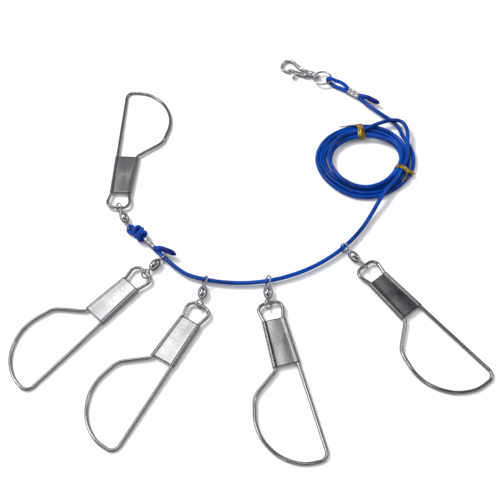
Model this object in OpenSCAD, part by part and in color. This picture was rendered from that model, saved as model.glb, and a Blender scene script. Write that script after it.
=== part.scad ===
// Fish stringer: five wire clips on barrel swivels, a coated cord and a trigger snap.
// The pieces lie as they were laid out. +Z is up, -Y is the near side, and the floor is z = 0.
// Lengths are in millimetres and angles in degrees.

/* [Clip wire] */
// Diameter of the spring wire
wire_d = 2.4; // [2:0.1:2.8]
// Distance between the outer corners of the eye, corner to corner before rounding
eye_w = 20.6; // [18:0.2:24]
// Distance from the eye bar to the sleeve
eye_len = 14; // [12:0.5:18]
// Bend radius of the eye corners
eye_bend_r = 5.2; // [4:0.1:6]
// Bend radius where the wire enters the sleeve from the eye
mouth_bend_r = 3; // [2:0.1:4]
// Length of the bow beyond the sleeve
bow_len = 71.5; // [60:0.5:85]
// Reach of the bow to its arc side, from the clip's middle line
bow_w = 32.8; // [26:0.2:38]
// Bend radius where the wire leaves the sleeve for the shoulder
shoulder_bend_r = 4; // [3:0.2:6]
// Bend radius at the spring corner, between the arc and the straight leg
corner_bend_r = 6; // [4:0.2:8]

/* [Sleeve] */
// Length of the folded sheet sleeve
sleeve_len = 36; // [30:0.5:44]
// Outer width of the sleeve at its eye end
sleeve_w_eye = 17.4; // [16:0.1:19]
// Outer width of the sleeve at its bow end
sleeve_w_bow = 19.7; // [18:0.1:22]
// Thickness of the sleeve's sheet
sheet_t = 0.4; // [0.3:0.05:0.6]
// How far the flat plate lies below the top of the rolled edges
plate_drop = 0.3; // [0.1:0.05:0.5]
// How far the open lip wraps below the level of the leg
lip_wrap = 55; // [40:1:60]
// How far a crimped roll wraps below the level of its wire
crimp_wrap = 118; // [100:1:130]
// Length of the wire's end that the sleeve grips beside the eye
grip_len = 14; // [10:0.5:18]
// Length of the leg's tip that rests in the open lip
seat_len = 17; // [10:0.5:18]

/* [Clip fits] */
// Gap between the wire and the sleeve's rolls
roll_gap = 0.08; // [0.03:0.01:0.12]
// Gap in the wire at the spring corner, where the leg hinges
hinge_gap = 0.3; // [0.25:0.05:0.5]
// Chamfer on the ends of the leg
tip_chamfer = 0.4; // [0.2:0.05:0.6]

/* [Swivel] */
// Wire diameter of the swivel rings
ring_wire_d = 1.2; // [1:0.05:1.3]
// Diameter of a swivel ring, measured at the middle of its wire
ring_d = 6.6; // [6.4:0.1:7.2]
// Distance between the two ring centres of a swivel
swivel_len = 20.4; // [19.6:0.1:23]
// Length of the barrel
barrel_len = 10.2; // [9:0.1:11]
// Largest diameter of the barrel
barrel_d = 6.7; // [6.2:0.1:6.7]
// Diameter of the barrel at its ends
barrel_end_d = 3.2; // [3:0.1:3.6]
// Thickness of the barrel's end walls
barrel_wall = 1.4; // [1:0.1:1.8]
// Diameter of the hollow inside the barrel
barrel_bore_d = 3.6; // [3.2:0.1:3.8]
// Diameter of the stem that turns in the barrel
stem_d = 1.5; // [1.3:0.05:1.7]
// Diameter of the head that keeps the stem in the barrel
head_d = 2.8; // [2.4:0.1:2.9]
// Thickness of that head
head_t = 0.9; // [0.6:0.1:1.2]
// Radial clearance of each stem in the barrel
stem_gap = 0.06; // [0.03:0.01:0.1]
// End play of each head behind the barrel's wall
head_play = 0.15; // [0.1:0.05:0.3]
// Lean of the rings away from lying flat
ring_lean = 54; // [52:1:58]

/* [Cord] */
// Diameter of the coated cord
cord_d = 3; // [2.8:0.1:3.1]
// Height of the middle of the cord and of the swivels over the floor
cord_z = 3.4; // [3.4:0.1:4]
// Radius of the arc that the cord makes past the clips
run_r = 112.5; // [105:0.5:120]
// Loops in the coil's lower layer
low_loops = 3.5; // [2.5:1:4.5]
// Loops in the coil's upper layer
top_loops = 1; // [1:1:3]
// Radius of the coil's outermost loop
coil_r = 38.5; // [36:0.5:44]
// Step between the loops of a layer
coil_step = 3.5; // [3.45:0.05:3.8]
// Step between the coil's layers
layer_step = 3.5; // [3.45:0.05:3.8]
// Height of the middle of the lower layer over the floor
coil_z = 2.3; // [2.3:0.05:2.6]
// How far the climb between the layers dips towards the coil's middle
climb_dip = 0.6; // [0.5:0.05:1]

/* [Crimps and ties] */
// Length of a crimp tube
crimp_len = 10.5; // [8:0.5:14]
// Wall of a crimp tube
crimp_wall = 0.35; // [0.3:0.05:0.5]
// Diameter of a strand where the crimp squeezes it
squeezed_d = 2.5; // [2.3:0.1:2.6]
// Gap between a squeezed strand and the crimp
crimp_gap = 0.08; // [0.05:0.01:0.15]
// Width of the flat band of a tie
tie_w = 5; // [3:0.5:6]
// Thickness of that band
tie_t = 0.35; // [0.3:0.05:0.4]
// Gap between a tie and the coil
tie_gap = 0.4; // [0.35:0.05:0.5]
// Diameter of a tie's twisted tail
tie_tail_d = 1.2; // [0.8:0.1:1.4]
// Length of a tie's longest tail
tie_tail_len = 17; // [10:1:20]

/* [Trigger snap] */
// Length of the snap from its shoulder to the end of the hook
snap_len = 31; // [28:0.5:34]
// Width across the hook, outside
snap_w = 15.4; // [14:0.2:17]
// Diameter of the hook's round bar
hook_d = 3; // [2.6:0.1:3.2]
// Diameter of the boss at the snap's foot
boss_d = 5.6; // [5:0.1:6]
// Length of that boss
boss_len = 5; // [4.6:0.1:6]
// Thickness of the gate's blade
gate_t = 1.6; // [1.2:0.1:1.8]
// Diameter of the gate's eye
gate_eye_d = 3.8; // [3.4:0.1:4.2]
// Thickness of each cheek beside the gate
cheek_t = 0.8; // [0.6:0.1:1.2]
// Diameter of the gate's rivet
rivet_d = 1.6; // [1.2:0.1:1.8]
// Diameter of the rivet's heads
rivet_head_d = 2.8; // [2.4:0.1:3.2]
// Thickness of the rivet's heads
rivet_head_t = 0.5; // [0.4:0.1:0.8]
// Diameter of the thumb ball
ball_d = 3.4; // [3:0.1:4]
// Diameter of the thumb ball's stem
ball_stem_d = 1.4; // [1.2:0.1:1.8]
// Clearance of the snap's moving pieces
snap_gap = 0.08; // [0.05:0.01:0.1]
// Diameter of the snap's ring, measured at the middle of its wire
link_d = 14.8; // [14:0.2:17]
// Wire diameter of the snap's ring
link_wire_d = 1.7; // [1.5:0.1:1.8]
// Height of the ring over the floor where the cord holds it
link_z = 4.2; // [4.2:0.1:4.6]
// Length of the hub in which the snap turns
hub_len = 4; // [3:0.1:4.6]
// Diameter of that hub
hub_d = 4.8; // [4.4:0.1:5.2]
// Diameter of the stud that turns in the hub
stud_d = 2.2; // [1.8:0.1:2.6]
// Diameter of the stud's head
stud_head_d = 3.8; // [3.2:0.1:4.4]
// Thickness of the stud's head
stud_head_t = 1.6; // [1:0.1:2]

/* [Hidden] */
$fn = 48;

wire_r = wire_d / 2;
cord_r = cord_d / 2;
ring_r = ring_d / 2;
link_r = link_d / 2;
// One overrun serves every cut
over = 1;
// Gap between the cord and the rings that its ends hold
hold_gap = 0.3;
// How far a wire's joint stands out of it, and how far it reaches along it each way
joint_hair = 0.02;
joint_reach = 0.15;

steel = [0.75, 0.75, 0.77];
sheet = [0.62, 0.62, 0.66];
blue = [0.05, 0.2, 0.62];
gold = [0.75, 0.58, 0.2];

// Small helpers for flat paths and points in space
unit = function(v) v / norm(v);
xy = function(p) [p[0], p[1]];
flat = function(v) [v[0], v[1], 0];
turn_of = function(a, p, b) acos(unit(p - a) * unit(b - p));
reach_of = function(path, k) path[k][2]
  * tan(turn_of(xy(path[k - 1]), xy(path[k]), xy(path[k + 1])) / 2);
cross3 = function(a, b) [a[1] * b[2] - a[2] * b[1], a[2] * b[0] - a[0] * b[2],
  a[0] * b[1] - a[1] * b[0]];
// A heading h points along -Y at 0 and turns towards +X
out_of = function(h) [sin(h), -cos(h)];
along = function(h) [cos(h), sin(h)];

// Where the clips lie: their rings' places on the cord, each swivel's heading, how far each ring
// and each bar sits off the middle of what it holds, the bar's offset along itself, and each
// clip's own heading
arc_at = [9, 68];
arc_place = function(a) arc_at + run_r * out_of(a);
arc_angles = [-18, 6, 39];
clips = [
  [[-83, 12.6], 204, 0.6, 0.4, -1, 172.5],
  [[-56.8, -15.6], -42, -0.4, -0.8, 1.6, -47.5],
  [arc_place(arc_angles[0]), -12.5, 0.7, 0.6, -1.2, -35],
  [arc_place(arc_angles[1]), -4.5, -0.7, -0.8, -0.8, 10],
  [arc_place(arc_angles[2]), 38, 0.8, 0.9, 0, 35]
];
ring_at = function(i) clips[i][0] + clips[i][2] * out_of(clips[i][1]);
eye_ring_at = function(i) ring_at(i) + swivel_len * out_of(clips[i][1]);
bar_at = function(i) eye_ring_at(i) + clips[i][3] * out_of(clips[i][1])
  - clips[i][4] * along(clips[i][5]);
// The bar rests on the low side of its ring, with a gap of half the ring's wire
bar_z = cord_z - ring_r * sin(ring_lean) + ring_wire_d + wire_r;

// The clip's outline, in the clip's own frame: the eye bar's middle is the origin, +X is the leg's
// side and -Y runs to the bow
roll_in = wire_r + roll_gap;
roll_out = roll_in + sheet_t;
wire_x_eye = sleeve_w_eye / 2 - roll_out;
wire_x_bow = sleeve_w_bow / 2 - roll_out;
sleeve_end = eye_len + sleeve_len;
side_slant = atan((wire_x_bow - wire_x_eye) / sleeve_len);
side_x = function(y) wire_x_eye + (y - eye_len) * tan(side_slant);
// The arc's corners before rounding, as shares of the bow's width and length
arc_shares = [[-0.832, 0.236], [-1, 0.578], [-0.655, 0.881], [-0.18, 0.993]];
// Their bend radii, as shares of the bow's width
arc_r_shares = [0.43, 1.02, 1.02, 0.76];
bow_end = sleeve_end + bow_len;
// The wire bends just outside the sleeve at both ends
mouth_y = eye_len - mouth_bend_r / 6;
shoulder_y = sleeve_end + shoulder_bend_r / 2;
// The clip is laid so that the end of its bow touches the floor
lay_angle = asin((bar_z - wire_r) / bow_end);
corner = [side_x(bow_end), -bow_end];
wire_path = concat(
  [[side_x(eye_len + grip_len), -(eye_len + grip_len), 0]],
  [[side_x(mouth_y), -mouth_y, mouth_bend_r]],
  [[eye_w / 2, 0, eye_bend_r], [-eye_w / 2, 0, eye_bend_r]],
  [[-side_x(mouth_y), -mouth_y, mouth_bend_r]],
  [[-side_x(shoulder_y), -shoulder_y, shoulder_bend_r]],
  [for (k = [0 : 3]) [arc_shares[k][0] * bow_w, -(sleeve_end + arc_shares[k][1] * bow_len),
    arc_r_shares[k] * bow_w]],
  [[corner[0], corner[1], corner_bend_r]],
  [[side_x(sleeve_end), -sleeve_end, 0]]
);
// The leg starts where the corner's bend ends, and its tip lies in the sleeve's lip
leg_dir = unit([side_x(sleeve_end), -sleeve_end] - corner);
hinge_at = corner + (reach_of(wire_path, len(wire_path) - 2) + hinge_gap) * leg_dir;
leg_len = (seat_len - sleeve_end - hinge_at[1]) / leg_dir[1];

// One bend of a wire
module bend(a, p, b, r, d) {
  u = unit(p - a);
  v = unit(b - p);
  t = turn_of(a, p, b);
  side = sign(u[0] * v[1] - u[1] * v[0]);
  start = p - r * tan(t / 2) * u;
  middle = start + side * r * [-u[1], u[0]];
  from = atan2(start[1] - middle[1], start[0] - middle[0]);
  translate([middle[0], middle[1], 0])
    rotate([0, 0, side > 0 ? from : from - t])
      rotate_extrude(angle = t, $fn = 96)
        translate([r, 0])
          circle(d = d, $fn = 24);
}

module joint(p, u, d) {
  translate([p[0], p[1], 0])
    rotate([0, 0, atan2(u[1], u[0])])
      rotate([0, 90, 0])
        cylinder(h = 2 * joint_reach, d = d + 2 * joint_hair, center = true, $fn = 24);
}

module straight(a, b, d) {
  translate([a[0], a[1], 0])
    rotate([0, 0, atan2(b[1] - a[1], b[0] - a[0])])
      rotate([0, 90, 0])
        cylinder(h = norm(b - a), d = d, $fn = 24);
}

// A wire of diameter d bent along a flat path of [x, y, bend radius]. A short sleeve that is a hair
// larger than the wire joins each bend to each straight
module bent_wire(path, d, last = true) {
  n = len(path) - 1;
  for (k = [1 : n - 1])
    bend(xy(path[k - 1]), xy(path[k]), xy(path[k + 1]), path[k][2], d);
  for (k = [0 : last ? n - 1 : n - 2]) {
    u = unit(xy(path[k + 1]) - xy(path[k]));
    start = xy(path[k]) + (k > 0 ? reach_of(path, k) : 0) * u;
    end = xy(path[k + 1]) - (k < n - 1 ? reach_of(path, k + 1) : 0) * u;
    straight(start, end, d);
    if (k > 0)
      joint(start, u, d);
    if (k < n - 1)
      joint(end, u, d);
  }
}

module at_clip(i) {
  translate([bar_at(i)[0], bar_at(i)[1], bar_z])
    rotate([0, 0, clips[i][5]])
      rotate([lay_angle, 0, 0])
        children();
}

module clip_wire(i) {
  color(steel)
    at_clip(i)
      bent_wire(wire_path, wire_d, false);
}

module clip_leg(i) {
  ease = tip_chamfer / 4;
  color(steel)
    at_clip(i)
      translate([hinge_at[0], hinge_at[1], 0])
        rotate([0, 0, atan2(leg_dir[1], leg_dir[0])])
          rotate([0, 90, 0])
            rotate_extrude($fn = 24)
              polygon([[0, 0], [wire_r - ease, 0], [wire_r, ease], [wire_r, leg_len - tip_chamfer],
                [wire_r - tip_chamfer, leg_len], [0, leg_len]]);
}

// One half of the sleeve, in section: the sheet rolled round a wire down to the wrap angle, and the
// flat plate from there past the clip's middle line. The plate ends inside the rolled sheet
plate_low = roll_in - plate_drop;
plate_lap = sheet_t / 5;
roll_from = sqrt(roll_in * roll_in - plate_low * plate_low) + plate_lap;
far = 3 * roll_out;
module sleeve_half(wrap) {
  from_y = eye_len - over;
  to_y = sleeve_end + over;
  translate([side_x(from_y), -from_y, 0])
    rotate([0, 0, side_slant])
      rotate([90, 0, 0])
        linear_extrude((to_y - from_y) / cos(side_slant)) {
          intersection() {
            difference() {
              circle(r = roll_out, $fn = 48);
              circle(r = roll_in, $fn = 48);
            }
            polygon([[0, 0], [far * cos(wrap), -far * sin(wrap)], [far, -far], [far, far],
              [-roll_from, far], [-roll_from, 0]]);
          }
          translate([-side_x(to_y) - roll_in, plate_low])
            square([side_x(to_y) + roll_in - roll_from + plate_lap / 2, sheet_t]);
        }
}

// What is cut from the leg's side beyond the grip, so that only the open lip is left
module lip_cut() {
  from_y = eye_len + grip_len;
  translate([side_x(from_y), -from_y, 0])
    rotate([0, 0, side_slant])
      rotate([90, 0, 0])
        linear_extrude(sleeve_len)
          polygon([[0, 0], [far * cos(lip_wrap), -far * sin(lip_wrap)], [0, -2 * far], [-far, -far]]);
}

module clip_sleeve(i) {
  color(sheet)
    at_clip(i)
      intersection() {
        union() {
          difference() {
            sleeve_half(crimp_wrap);
            lip_cut();
          }
          mirror([1, 0, 0])
            sleeve_half(crimp_wrap);
        }
        translate([-sleeve_w_bow, -sleeve_end, -roll_out - over])
          cube([2 * sleeve_w_bow, sleeve_len, 2 * (roll_out + over)]);
      }
}

// Swivel i, with its axis along local X from the cord's ring to the eye's ring
module at_swivel(i) {
  translate([ring_at(i)[0], ring_at(i)[1], cord_z])
    rotate([0, 0, clips[i][1] - 90])
      children();
}

barrel_from = (swivel_len - barrel_len) / 2;
head_from = barrel_from + barrel_wall + head_play;

// A ring with its stem and the stem's head, the ring's centre at the origin
module swivel_ring() {
  rotate([ring_lean, 0, 0])
    rotate_extrude($fn = 48)
      translate([ring_r, 0])
        circle(d = ring_wire_d, $fn = 24);
  rotate([0, 90, 0])
    translate([0, 0, ring_r])
      cylinder(h = head_from - ring_r + head_t / 2, d = stem_d, $fn = 24);
  rotate([0, 90, 0])
    translate([0, 0, head_from])
      cylinder(h = head_t, d = head_d, $fn = 24);
}

module swivel_cord_ring(i) {
  color(steel)
    at_swivel(i)
      swivel_ring();
}

module swivel_eye_ring(i) {
  color(steel)
    at_swivel(i)
      translate([swivel_len, 0, 0])
        rotate([0, 0, 180])
          swivel_ring();
}

// An egg-shaped shell, turned from one arc, with a stem's hole in each end
module swivel_barrel(i) {
  rise = (barrel_d - barrel_end_d) / 2;
  bulge_r = (barrel_len * barrel_len / 4 + rise * rise) / (2 * rise);
  color(steel)
    at_swivel(i)
      translate([swivel_len / 2, 0, 0])
        rotate([0, 90, 0])
          difference() {
            rotate_extrude($fn = 48)
              intersection() {
                translate([barrel_d / 2 - bulge_r, 0])
                  circle(r = bulge_r, $fn = 96);
                translate([0, -barrel_len / 2])
                  square([barrel_d, barrel_len]);
              }
            cylinder(h = barrel_len + 2 * over, d = stem_d + 2 * stem_gap, center = true, $fn = 24);
            cylinder(h = barrel_len - 2 * barrel_wall, d = barrel_bore_d, center = true, $fn = 24);
          }
}

// A tube of n sides swept along points p, with one diameter d or a list of them
tangent = function(p, k) unit(k == 0 ? p[1] - p[0]
  : k == len(p) - 1 ? p[k] - p[k - 1]
  : unit(p[k + 1] - p[k]) + unit(p[k] - p[k - 1]));
side_of = function(t) unit(cross3(abs(t[2]) > 0.9 ? [1, 0, 0] : [0, 0, 1], t));
carried = function(n, t) unit(n - (n * t) * t);
sections = function(p, k = 0, n = [0, 0, 0], out = []) k == len(p) ? out
  : let (t = tangent(p, k), m = k == 0 ? side_of(t) : carried(n, t))
    sections(p, k + 1, m, concat(out, [[m, cross3(t, m)]]));
module tube(p, d, n) {
  f = sections(p);
  m = len(p);
  r = is_list(d) ? d / 2 : [for (q = p) d / 2];
  end = (m - 1) * n;
  points = [for (k = [0 : m - 1]) for (j = [0 : n - 1])
    p[k] + r[k] * (cos(360 * j / n) * f[k][0] + sin(360 * j / n) * f[k][1])];
  walls = [for (k = [0 : m - 2]) for (j = [0 : n - 1]) let (
    a = k * n + j, b = k * n + (j + 1) % n) each [[a, a + n, b], [b, a + n, b + n]]];
  caps = [for (j = [1 : n - 2]) each [[0, j, j + 1], [end, end + j + 1, end + j]]];
  polyhedron(points, concat(walls, caps), convexity = 10);
}

// The least gap of a tube to itself, between points further apart along it than a reach
to_piece = function(q, a, b) let (u = b - a, s = max(0, min(1, (q - a) * u / (u * u))))
  norm(q - a - s * u);
self_gap = function(p, d, apart) min([for (k = [0 : len(p) - 1])
  for (j = [k + apart : 1 : len(p) - 2]) to_piece(p[k], p[j], p[j + 1])]) - d;

// The coil is one tube: it starts in the lower layer's outermost loop, winds in, climbs a layer in
// half a turn and winds out
coil_at = [107.7, 62.9];
coil_from = 25;
coil_to = -37;
loop_steps = 24;
climb = 0.5;
turns_out = top_loops + (coil_from - coil_to) / 360;
coil_total = low_loops + climb + turns_out;
coil_in_r = coil_r - coil_step * low_loops;
coil_point = function(t) let (
  s = max(0, min(1, (t - low_loops) / climb)),
  r = t < low_loops ? coil_r - coil_step * t
    : s < 1 ? coil_in_r - climb_dip * sin(180 * s)
    : coil_in_r + coil_step * (t - low_loops - climb),
  a = coil_from - 360 * t)
  [coil_at[0] + r * cos(a), coil_at[1] + r * sin(a), coil_z + layer_step * s];
coil_wound = concat([for (k = [0 : floor(coil_total * loop_steps)]) coil_point(k / loop_steps)],
  [coil_point(coil_total)]);
coil_last = len(coil_wound) - 1;
coil_a = coil_wound[0];
coil_b = coil_wound[coil_last];
coil_a_dir = unit(flat(coil_a - coil_wound[1]));
coil_b_dir = unit(flat(coil_b - coil_wound[coil_last - 1]));
coil_start = coil_a + cord_d * coil_a_dir;
coil_end = coil_b + cord_d * coil_b_dir;
coil_path = concat([coil_start], coil_wound, [coil_end]);

module cord_coil() {
  echo(coil_gap = self_gap(coil_path, cord_d, floor(loop_steps / 2)));
  color(blue)
    tube(coil_path, cord_d, 6);
}

// A crimp holds two strands, one over the other or rolled a little: its middle, its heading as an
// angle, and the roll of its strands above the level
crimps = [
  [[-67, -4.4], -49.5, 90],
  [[106.4, 133], -41.5, 45]
];
strand_off = (squeezed_d + crimp_gap) / 2;
crimp_dir = function(i) concat(along(crimps[i][1]), [0]);
// The strand that is up is 1 for the tail and -1 for the cord
strand_shift = function(i, up) up * strand_off
  * [-sin(crimps[i][1]) * cos(crimps[i][2]), cos(crimps[i][1]) * cos(crimps[i][2]),
    sin(crimps[i][2])];
// Where a strand leaves the crimp, on the side of the end loop with -1 and else with 1
strand_at = function(i, up, way) concat(crimps[i][0], [cord_z]) + strand_shift(i, up)
  + way * (crimp_len / 2) * crimp_dir(i);

module crimp(i) {
  bore = squeezed_d + 2 * crimp_gap;
  outer = bore + 2 * crimp_wall;
  color(steel)
    translate([crimps[i][0][0], crimps[i][0][1], cord_z])
      rotate([0, 0, crimps[i][1]])
        rotate([crimps[i][2], 0, 0])
          rotate([0, 90, 0])
            difference() {
              union() {
                for (s = [-1, 1])
                  translate([0, s * strand_off, 0])
                    cylinder(h = crimp_len, d = outer, center = true, $fn = 32);
                cube([squeezed_d, 2 * strand_off, crimp_len], center = true);
              }
              for (s = [-1, 1])
                translate([0, s * strand_off, 0])
                  cylinder(h = crimp_len + 2 * over, d = bore, center = true, $fn = 32);
            }
}

// The half turn of an end loop round a ring's wire at w: a points from the ring's wire to the
// ring's middle, and m points to where the turn starts
hook_turn = function(w, r, a, m) [for (s = [90 : -45 : -90]) w + r * (cos(s) * a + sin(s) * m)];

// The knot: the strand from the cord winds round the other strand up to the first swivel's ring,
// turns round the ring's wire and runs straight back through the crimp to its tail
knot_out = concat(out_of(clips[0][1]), [0]);
knot_left = [-knot_out[1], knot_out[0], 0];
knot_wire = concat(ring_at(0), [cord_z]) - ring_r * knot_out;
knot_turn = hook_turn(knot_wire, cord_r + ring_wire_d / 2 + hold_gap, knot_out,
  [knot_left[0] * sin(ring_lean), knot_left[1] * sin(ring_lean), -cos(ring_lean)]);
knot_core = strand_at(0, 1, -1);
knot_core_end = knot_turn[len(knot_turn) - 1];
knot_axis = unit(knot_core_end - knot_core);
knot_side = unit(cross3([0, 0, 1], knot_axis));
knot_up = cross3(knot_axis, knot_side);
knot_gap = 0.2;
// The windings: their angles round the other strand, and how far along it they start and end
knot_angles = [-90, 685];
knot_span = [cord_d, 11];
knot_steps = 22;
knot_helix = [for (k = [0 : knot_steps]) let (s = k / knot_steps,
  a = knot_angles[0] + s * (knot_angles[1] - knot_angles[0]),
  u = knot_span[0] + s * (knot_span[1] - knot_span[0]))
  knot_core + u * knot_axis + (cord_d + knot_gap) * (cos(a) * knot_side + sin(a) * knot_up)];
tail_1_route = [[-62.3, -9.3, 5], [-59, -9.8, 5.8], [-53.8, -11.2, 6.3], [-50.1, -14, 6],
  [-47, -17.2, 5.4]];
knot_path = concat([strand_at(0, -1, 1), strand_at(0, -1, -1)], knot_helix, knot_turn,
  [knot_core + cord_d * knot_axis, knot_core, strand_at(0, 1, 1)], tail_1_route);
squeezed = function(n, ends, m) [for (k = [0 : n - 1])
  len([for (e = ends) if (e == k) e]) > 0 ? squeezed_d : k == n - 1 ? m : cord_d];

module cord_knot() {
  n = len(knot_path);
  t = n - len(tail_1_route);
  color(blue)
    tube(knot_path, squeezed(n, [0, 1, t - 2, t - 1], cord_d - knot_gap), 8);
}

// The end loop at the snap: open, and turned round the wire of the snap's ring
clasp_at = [88.2, 148.7];
clasp_angle = 146.5;
clasp_out = concat(along(clasp_angle), [0]);
loop_turn = hook_turn(concat(clasp_at, [link_z]), cord_r + link_wire_d / 2 + hold_gap, clasp_out,
  [0, 0, -1]);
loop_low_route = [[99.4, 137.5, 2.3], [94.6, 139.8, 2], [91.6, 143.2, 1.8]];
loop_top_route = [[92.5, 146.8, 6.3], [97.2, 144.1, 5.2], [100.5, 140.3, 4.5]];
tail_2_route = [[113.4, 128.5, 4.5], [117.8, 125.5, 5], [122, 122, 5], [126, 119, 4.8]];
loop_path = concat([strand_at(1, -1, 1), strand_at(1, -1, -1)], loop_low_route, loop_turn,
  loop_top_route, [strand_at(1, 1, -1), strand_at(1, 1, 1)], tail_2_route);

module cord_loop() {
  n = len(loop_path);
  t = n - len(tail_2_route);
  color(blue)
    tube(loop_path, squeezed(n, [0, 1, t - 2, t - 1], cord_d - knot_gap), 8);
}

// The run: straight past the crimp, along the arc, and up onto the coil
run_from_route = [[-59.4, -13.3, 3.2], [-57.5, -15.6, 3.4], [-51, -23.1, 3.4], [-45, -29, 3.4]];
run_to_route = [[108, 13.4, 4.7], [113, 20.8, 5.8], [118.5, 28.5, 5.8]];
arc_from = -25;
arc_to = 55;
arc_step = 5;
run_path = concat([strand_at(0, -1, 1), strand_at(0, -1, 1) + cord_d * crimp_dir(0)],
  run_from_route,
  [for (a = [arc_from : arc_step : arc_to]) concat(arc_place(a), [cord_z])],
  run_to_route, [coil_end + cord_d * coil_b_dir, coil_end]);

module cord_run() {
  color(blue)
    tube(run_path, squeezed(len(run_path), [0], cord_d), 8);
}

lead_route = [[139, 92.5, 2.5], [135.5, 99, 2.9], [129.5, 105, 3.2], [122.5, 112.5, 3.4],
  [116.2, 120.3, 3.1]];
lead_path = concat([coil_start, coil_start + cord_d * coil_a_dir], lead_route,
  [strand_at(1, -1, 1) + cord_d * crimp_dir(1), strand_at(1, -1, 1)]);

module cord_lead() {
  color(blue)
    tube(lead_path, squeezed(len(lead_path), [len(lead_path) - 1], cord_d), 8);
}

// A tie: a flat band drawn round the coil's strands, seen in section, with twisted tails on top
coil_r_at = function(a, turn) coil_r - coil_step * (turn + (coil_from - a) / 360);
top_r_at = function(a, turn) coil_in_r + coil_step * (turn + (coil_from - a) / 360);
top_z = coil_z + layer_step;
// The second tie's tails, as shares of the longest
tie_2_shares = [0.7, 0.7];
// Each tie's angle on the coil, and the middles of the strands at its corners, anticlockwise
tie_1_angle = 92;
tie_2_angle = -28;
tie_1_corners = [
  [coil_in_r - climb_dip, coil_z],
  [coil_r_at(tie_1_angle, 1), coil_z],
  [top_r_at(tie_1_angle, 1), top_z],
  [coil_in_r - climb_dip, top_z]
];
tie_2_corners = [
  [coil_r_at(tie_2_angle, 3), coil_z],
  [coil_r_at(tie_2_angle, 0), coil_z],
  [top_r_at(tie_2_angle, 1), top_z],
  [top_r_at(tie_2_angle, 0), top_z]
];

// The outline that lies r outside a convex row of points
module around(points, r) {
  n = len(points);
  for (p = points)
    translate(p)
      circle(r = r, $fn = 48);
  polygon([for (k = [0 : n - 1]) let (
    a = points[k], b = points[(k + 1) % n], u = unit(b - a), v = r * [u[1], -u[0]])
    each [a + v, b + v]]);
}

module tie_band(angle, corners, w) {
  translate([coil_at[0], coil_at[1], 0])
    rotate([0, 0, angle])
      rotate([90, 0, 0])
        linear_extrude(w, center = true)
          difference() {
            around(corners, cord_r + tie_gap + tie_t);
            around(corners, cord_r + tie_gap);
          }
}

// A tail lies on the band's top: r from the coil's middle, its angles as headings, its length
tail_z = top_z + cord_r + tie_gap + tie_t + tie_tail_d / 4;
module tie_tail(angle, r, first, second, length) {
  a = r * along(angle);
  b = a + length / 3 * along(first);
  translate([coil_at[0], coil_at[1], tail_z])
    bent_wire([[a[0], a[1], 0], [b[0], b[1], tie_tail_d * 2],
      [b[0] + 2 * length / 3 * cos(second), b[1] + 2 * length / 3 * sin(second), 0]], tie_tail_d);
}

module tie_1() {
  color(gold) {
    tie_band(tie_1_angle, tie_1_corners, tie_w);
    tie_tail(tie_1_angle, top_r_at(tie_1_angle, 1), 170, 186, tie_tail_len);
  }
}

module tie_2() {
  color(gold) {
    tie_band(tie_2_angle, tie_2_corners, tie_w / 2);
    tie_tail(tie_2_angle, tie_2_corners[2][0], -45, -25, tie_tail_len * tie_2_shares[0]);
    tie_tail(tie_2_angle, tie_2_corners[3][0], -100, -125, tie_tail_len * tie_2_shares[1]);
  }
}

// The snap lies with its ring round the end loop, drooping so that its hook touches the floor.
// Its own frame starts at the ring's wire in the loop, with +X out along the snap
hub_at = link_d;
shoulder = hub_at + hub_len / 2 + head_play;
droop = asin((link_z - hook_d / 2) / (shoulder + snap_len - hook_d / 2));
module at_clasp() {
  translate([clasp_at[0], clasp_at[1], link_z])
    rotate([0, 0, clasp_angle])
      rotate([0, droop, 0])
        children();
}

module clasp_ring() {
  color(steel)
    at_clasp()
      difference() {
        union() {
          translate([link_r, 0, 0])
            rotate_extrude($fn = 96)
              translate([link_r, 0])
                circle(d = link_wire_d, $fn = 24);
          translate([hub_at - hub_len / 2, 0, 0])
            rotate([0, 90, 0])
              cylinder(h = hub_len, d = hub_d, $fn = 48);
        }
        translate([hub_at - hub_len / 2 - over, 0, 0])
          rotate([0, 90, 0])
            cylinder(h = hub_len + 2 * over, d = stud_d + 2 * snap_gap, $fn = 24);
      }
}

// The hook's bar, from the boss round the hook to its tip, as shares of the snap's length and
// width, with bend radii as shares of the width
hook_shares = [[0.08, -0.09, 0], [0.4, -0.09, 0.6], [0.74, -0.4, 0.32], [0.9516, -0.4, 0.32],
  [0.9516, 0.4, 0.34], [0.665, 0.4, 0]];
hook_path = [for (s = hook_shares) [shoulder + s[0] * snap_len, s[1] * snap_w, s[2] * snap_w]];
pivot_shares = [0.177, 0.208];
pivot = [shoulder + pivot_shares[0] * snap_len, pivot_shares[1] * snap_w];
lug_t = gate_t + 2 * snap_gap + 2 * cheek_t;
lug_r = gate_eye_d / 2 + snap_gap;

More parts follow.
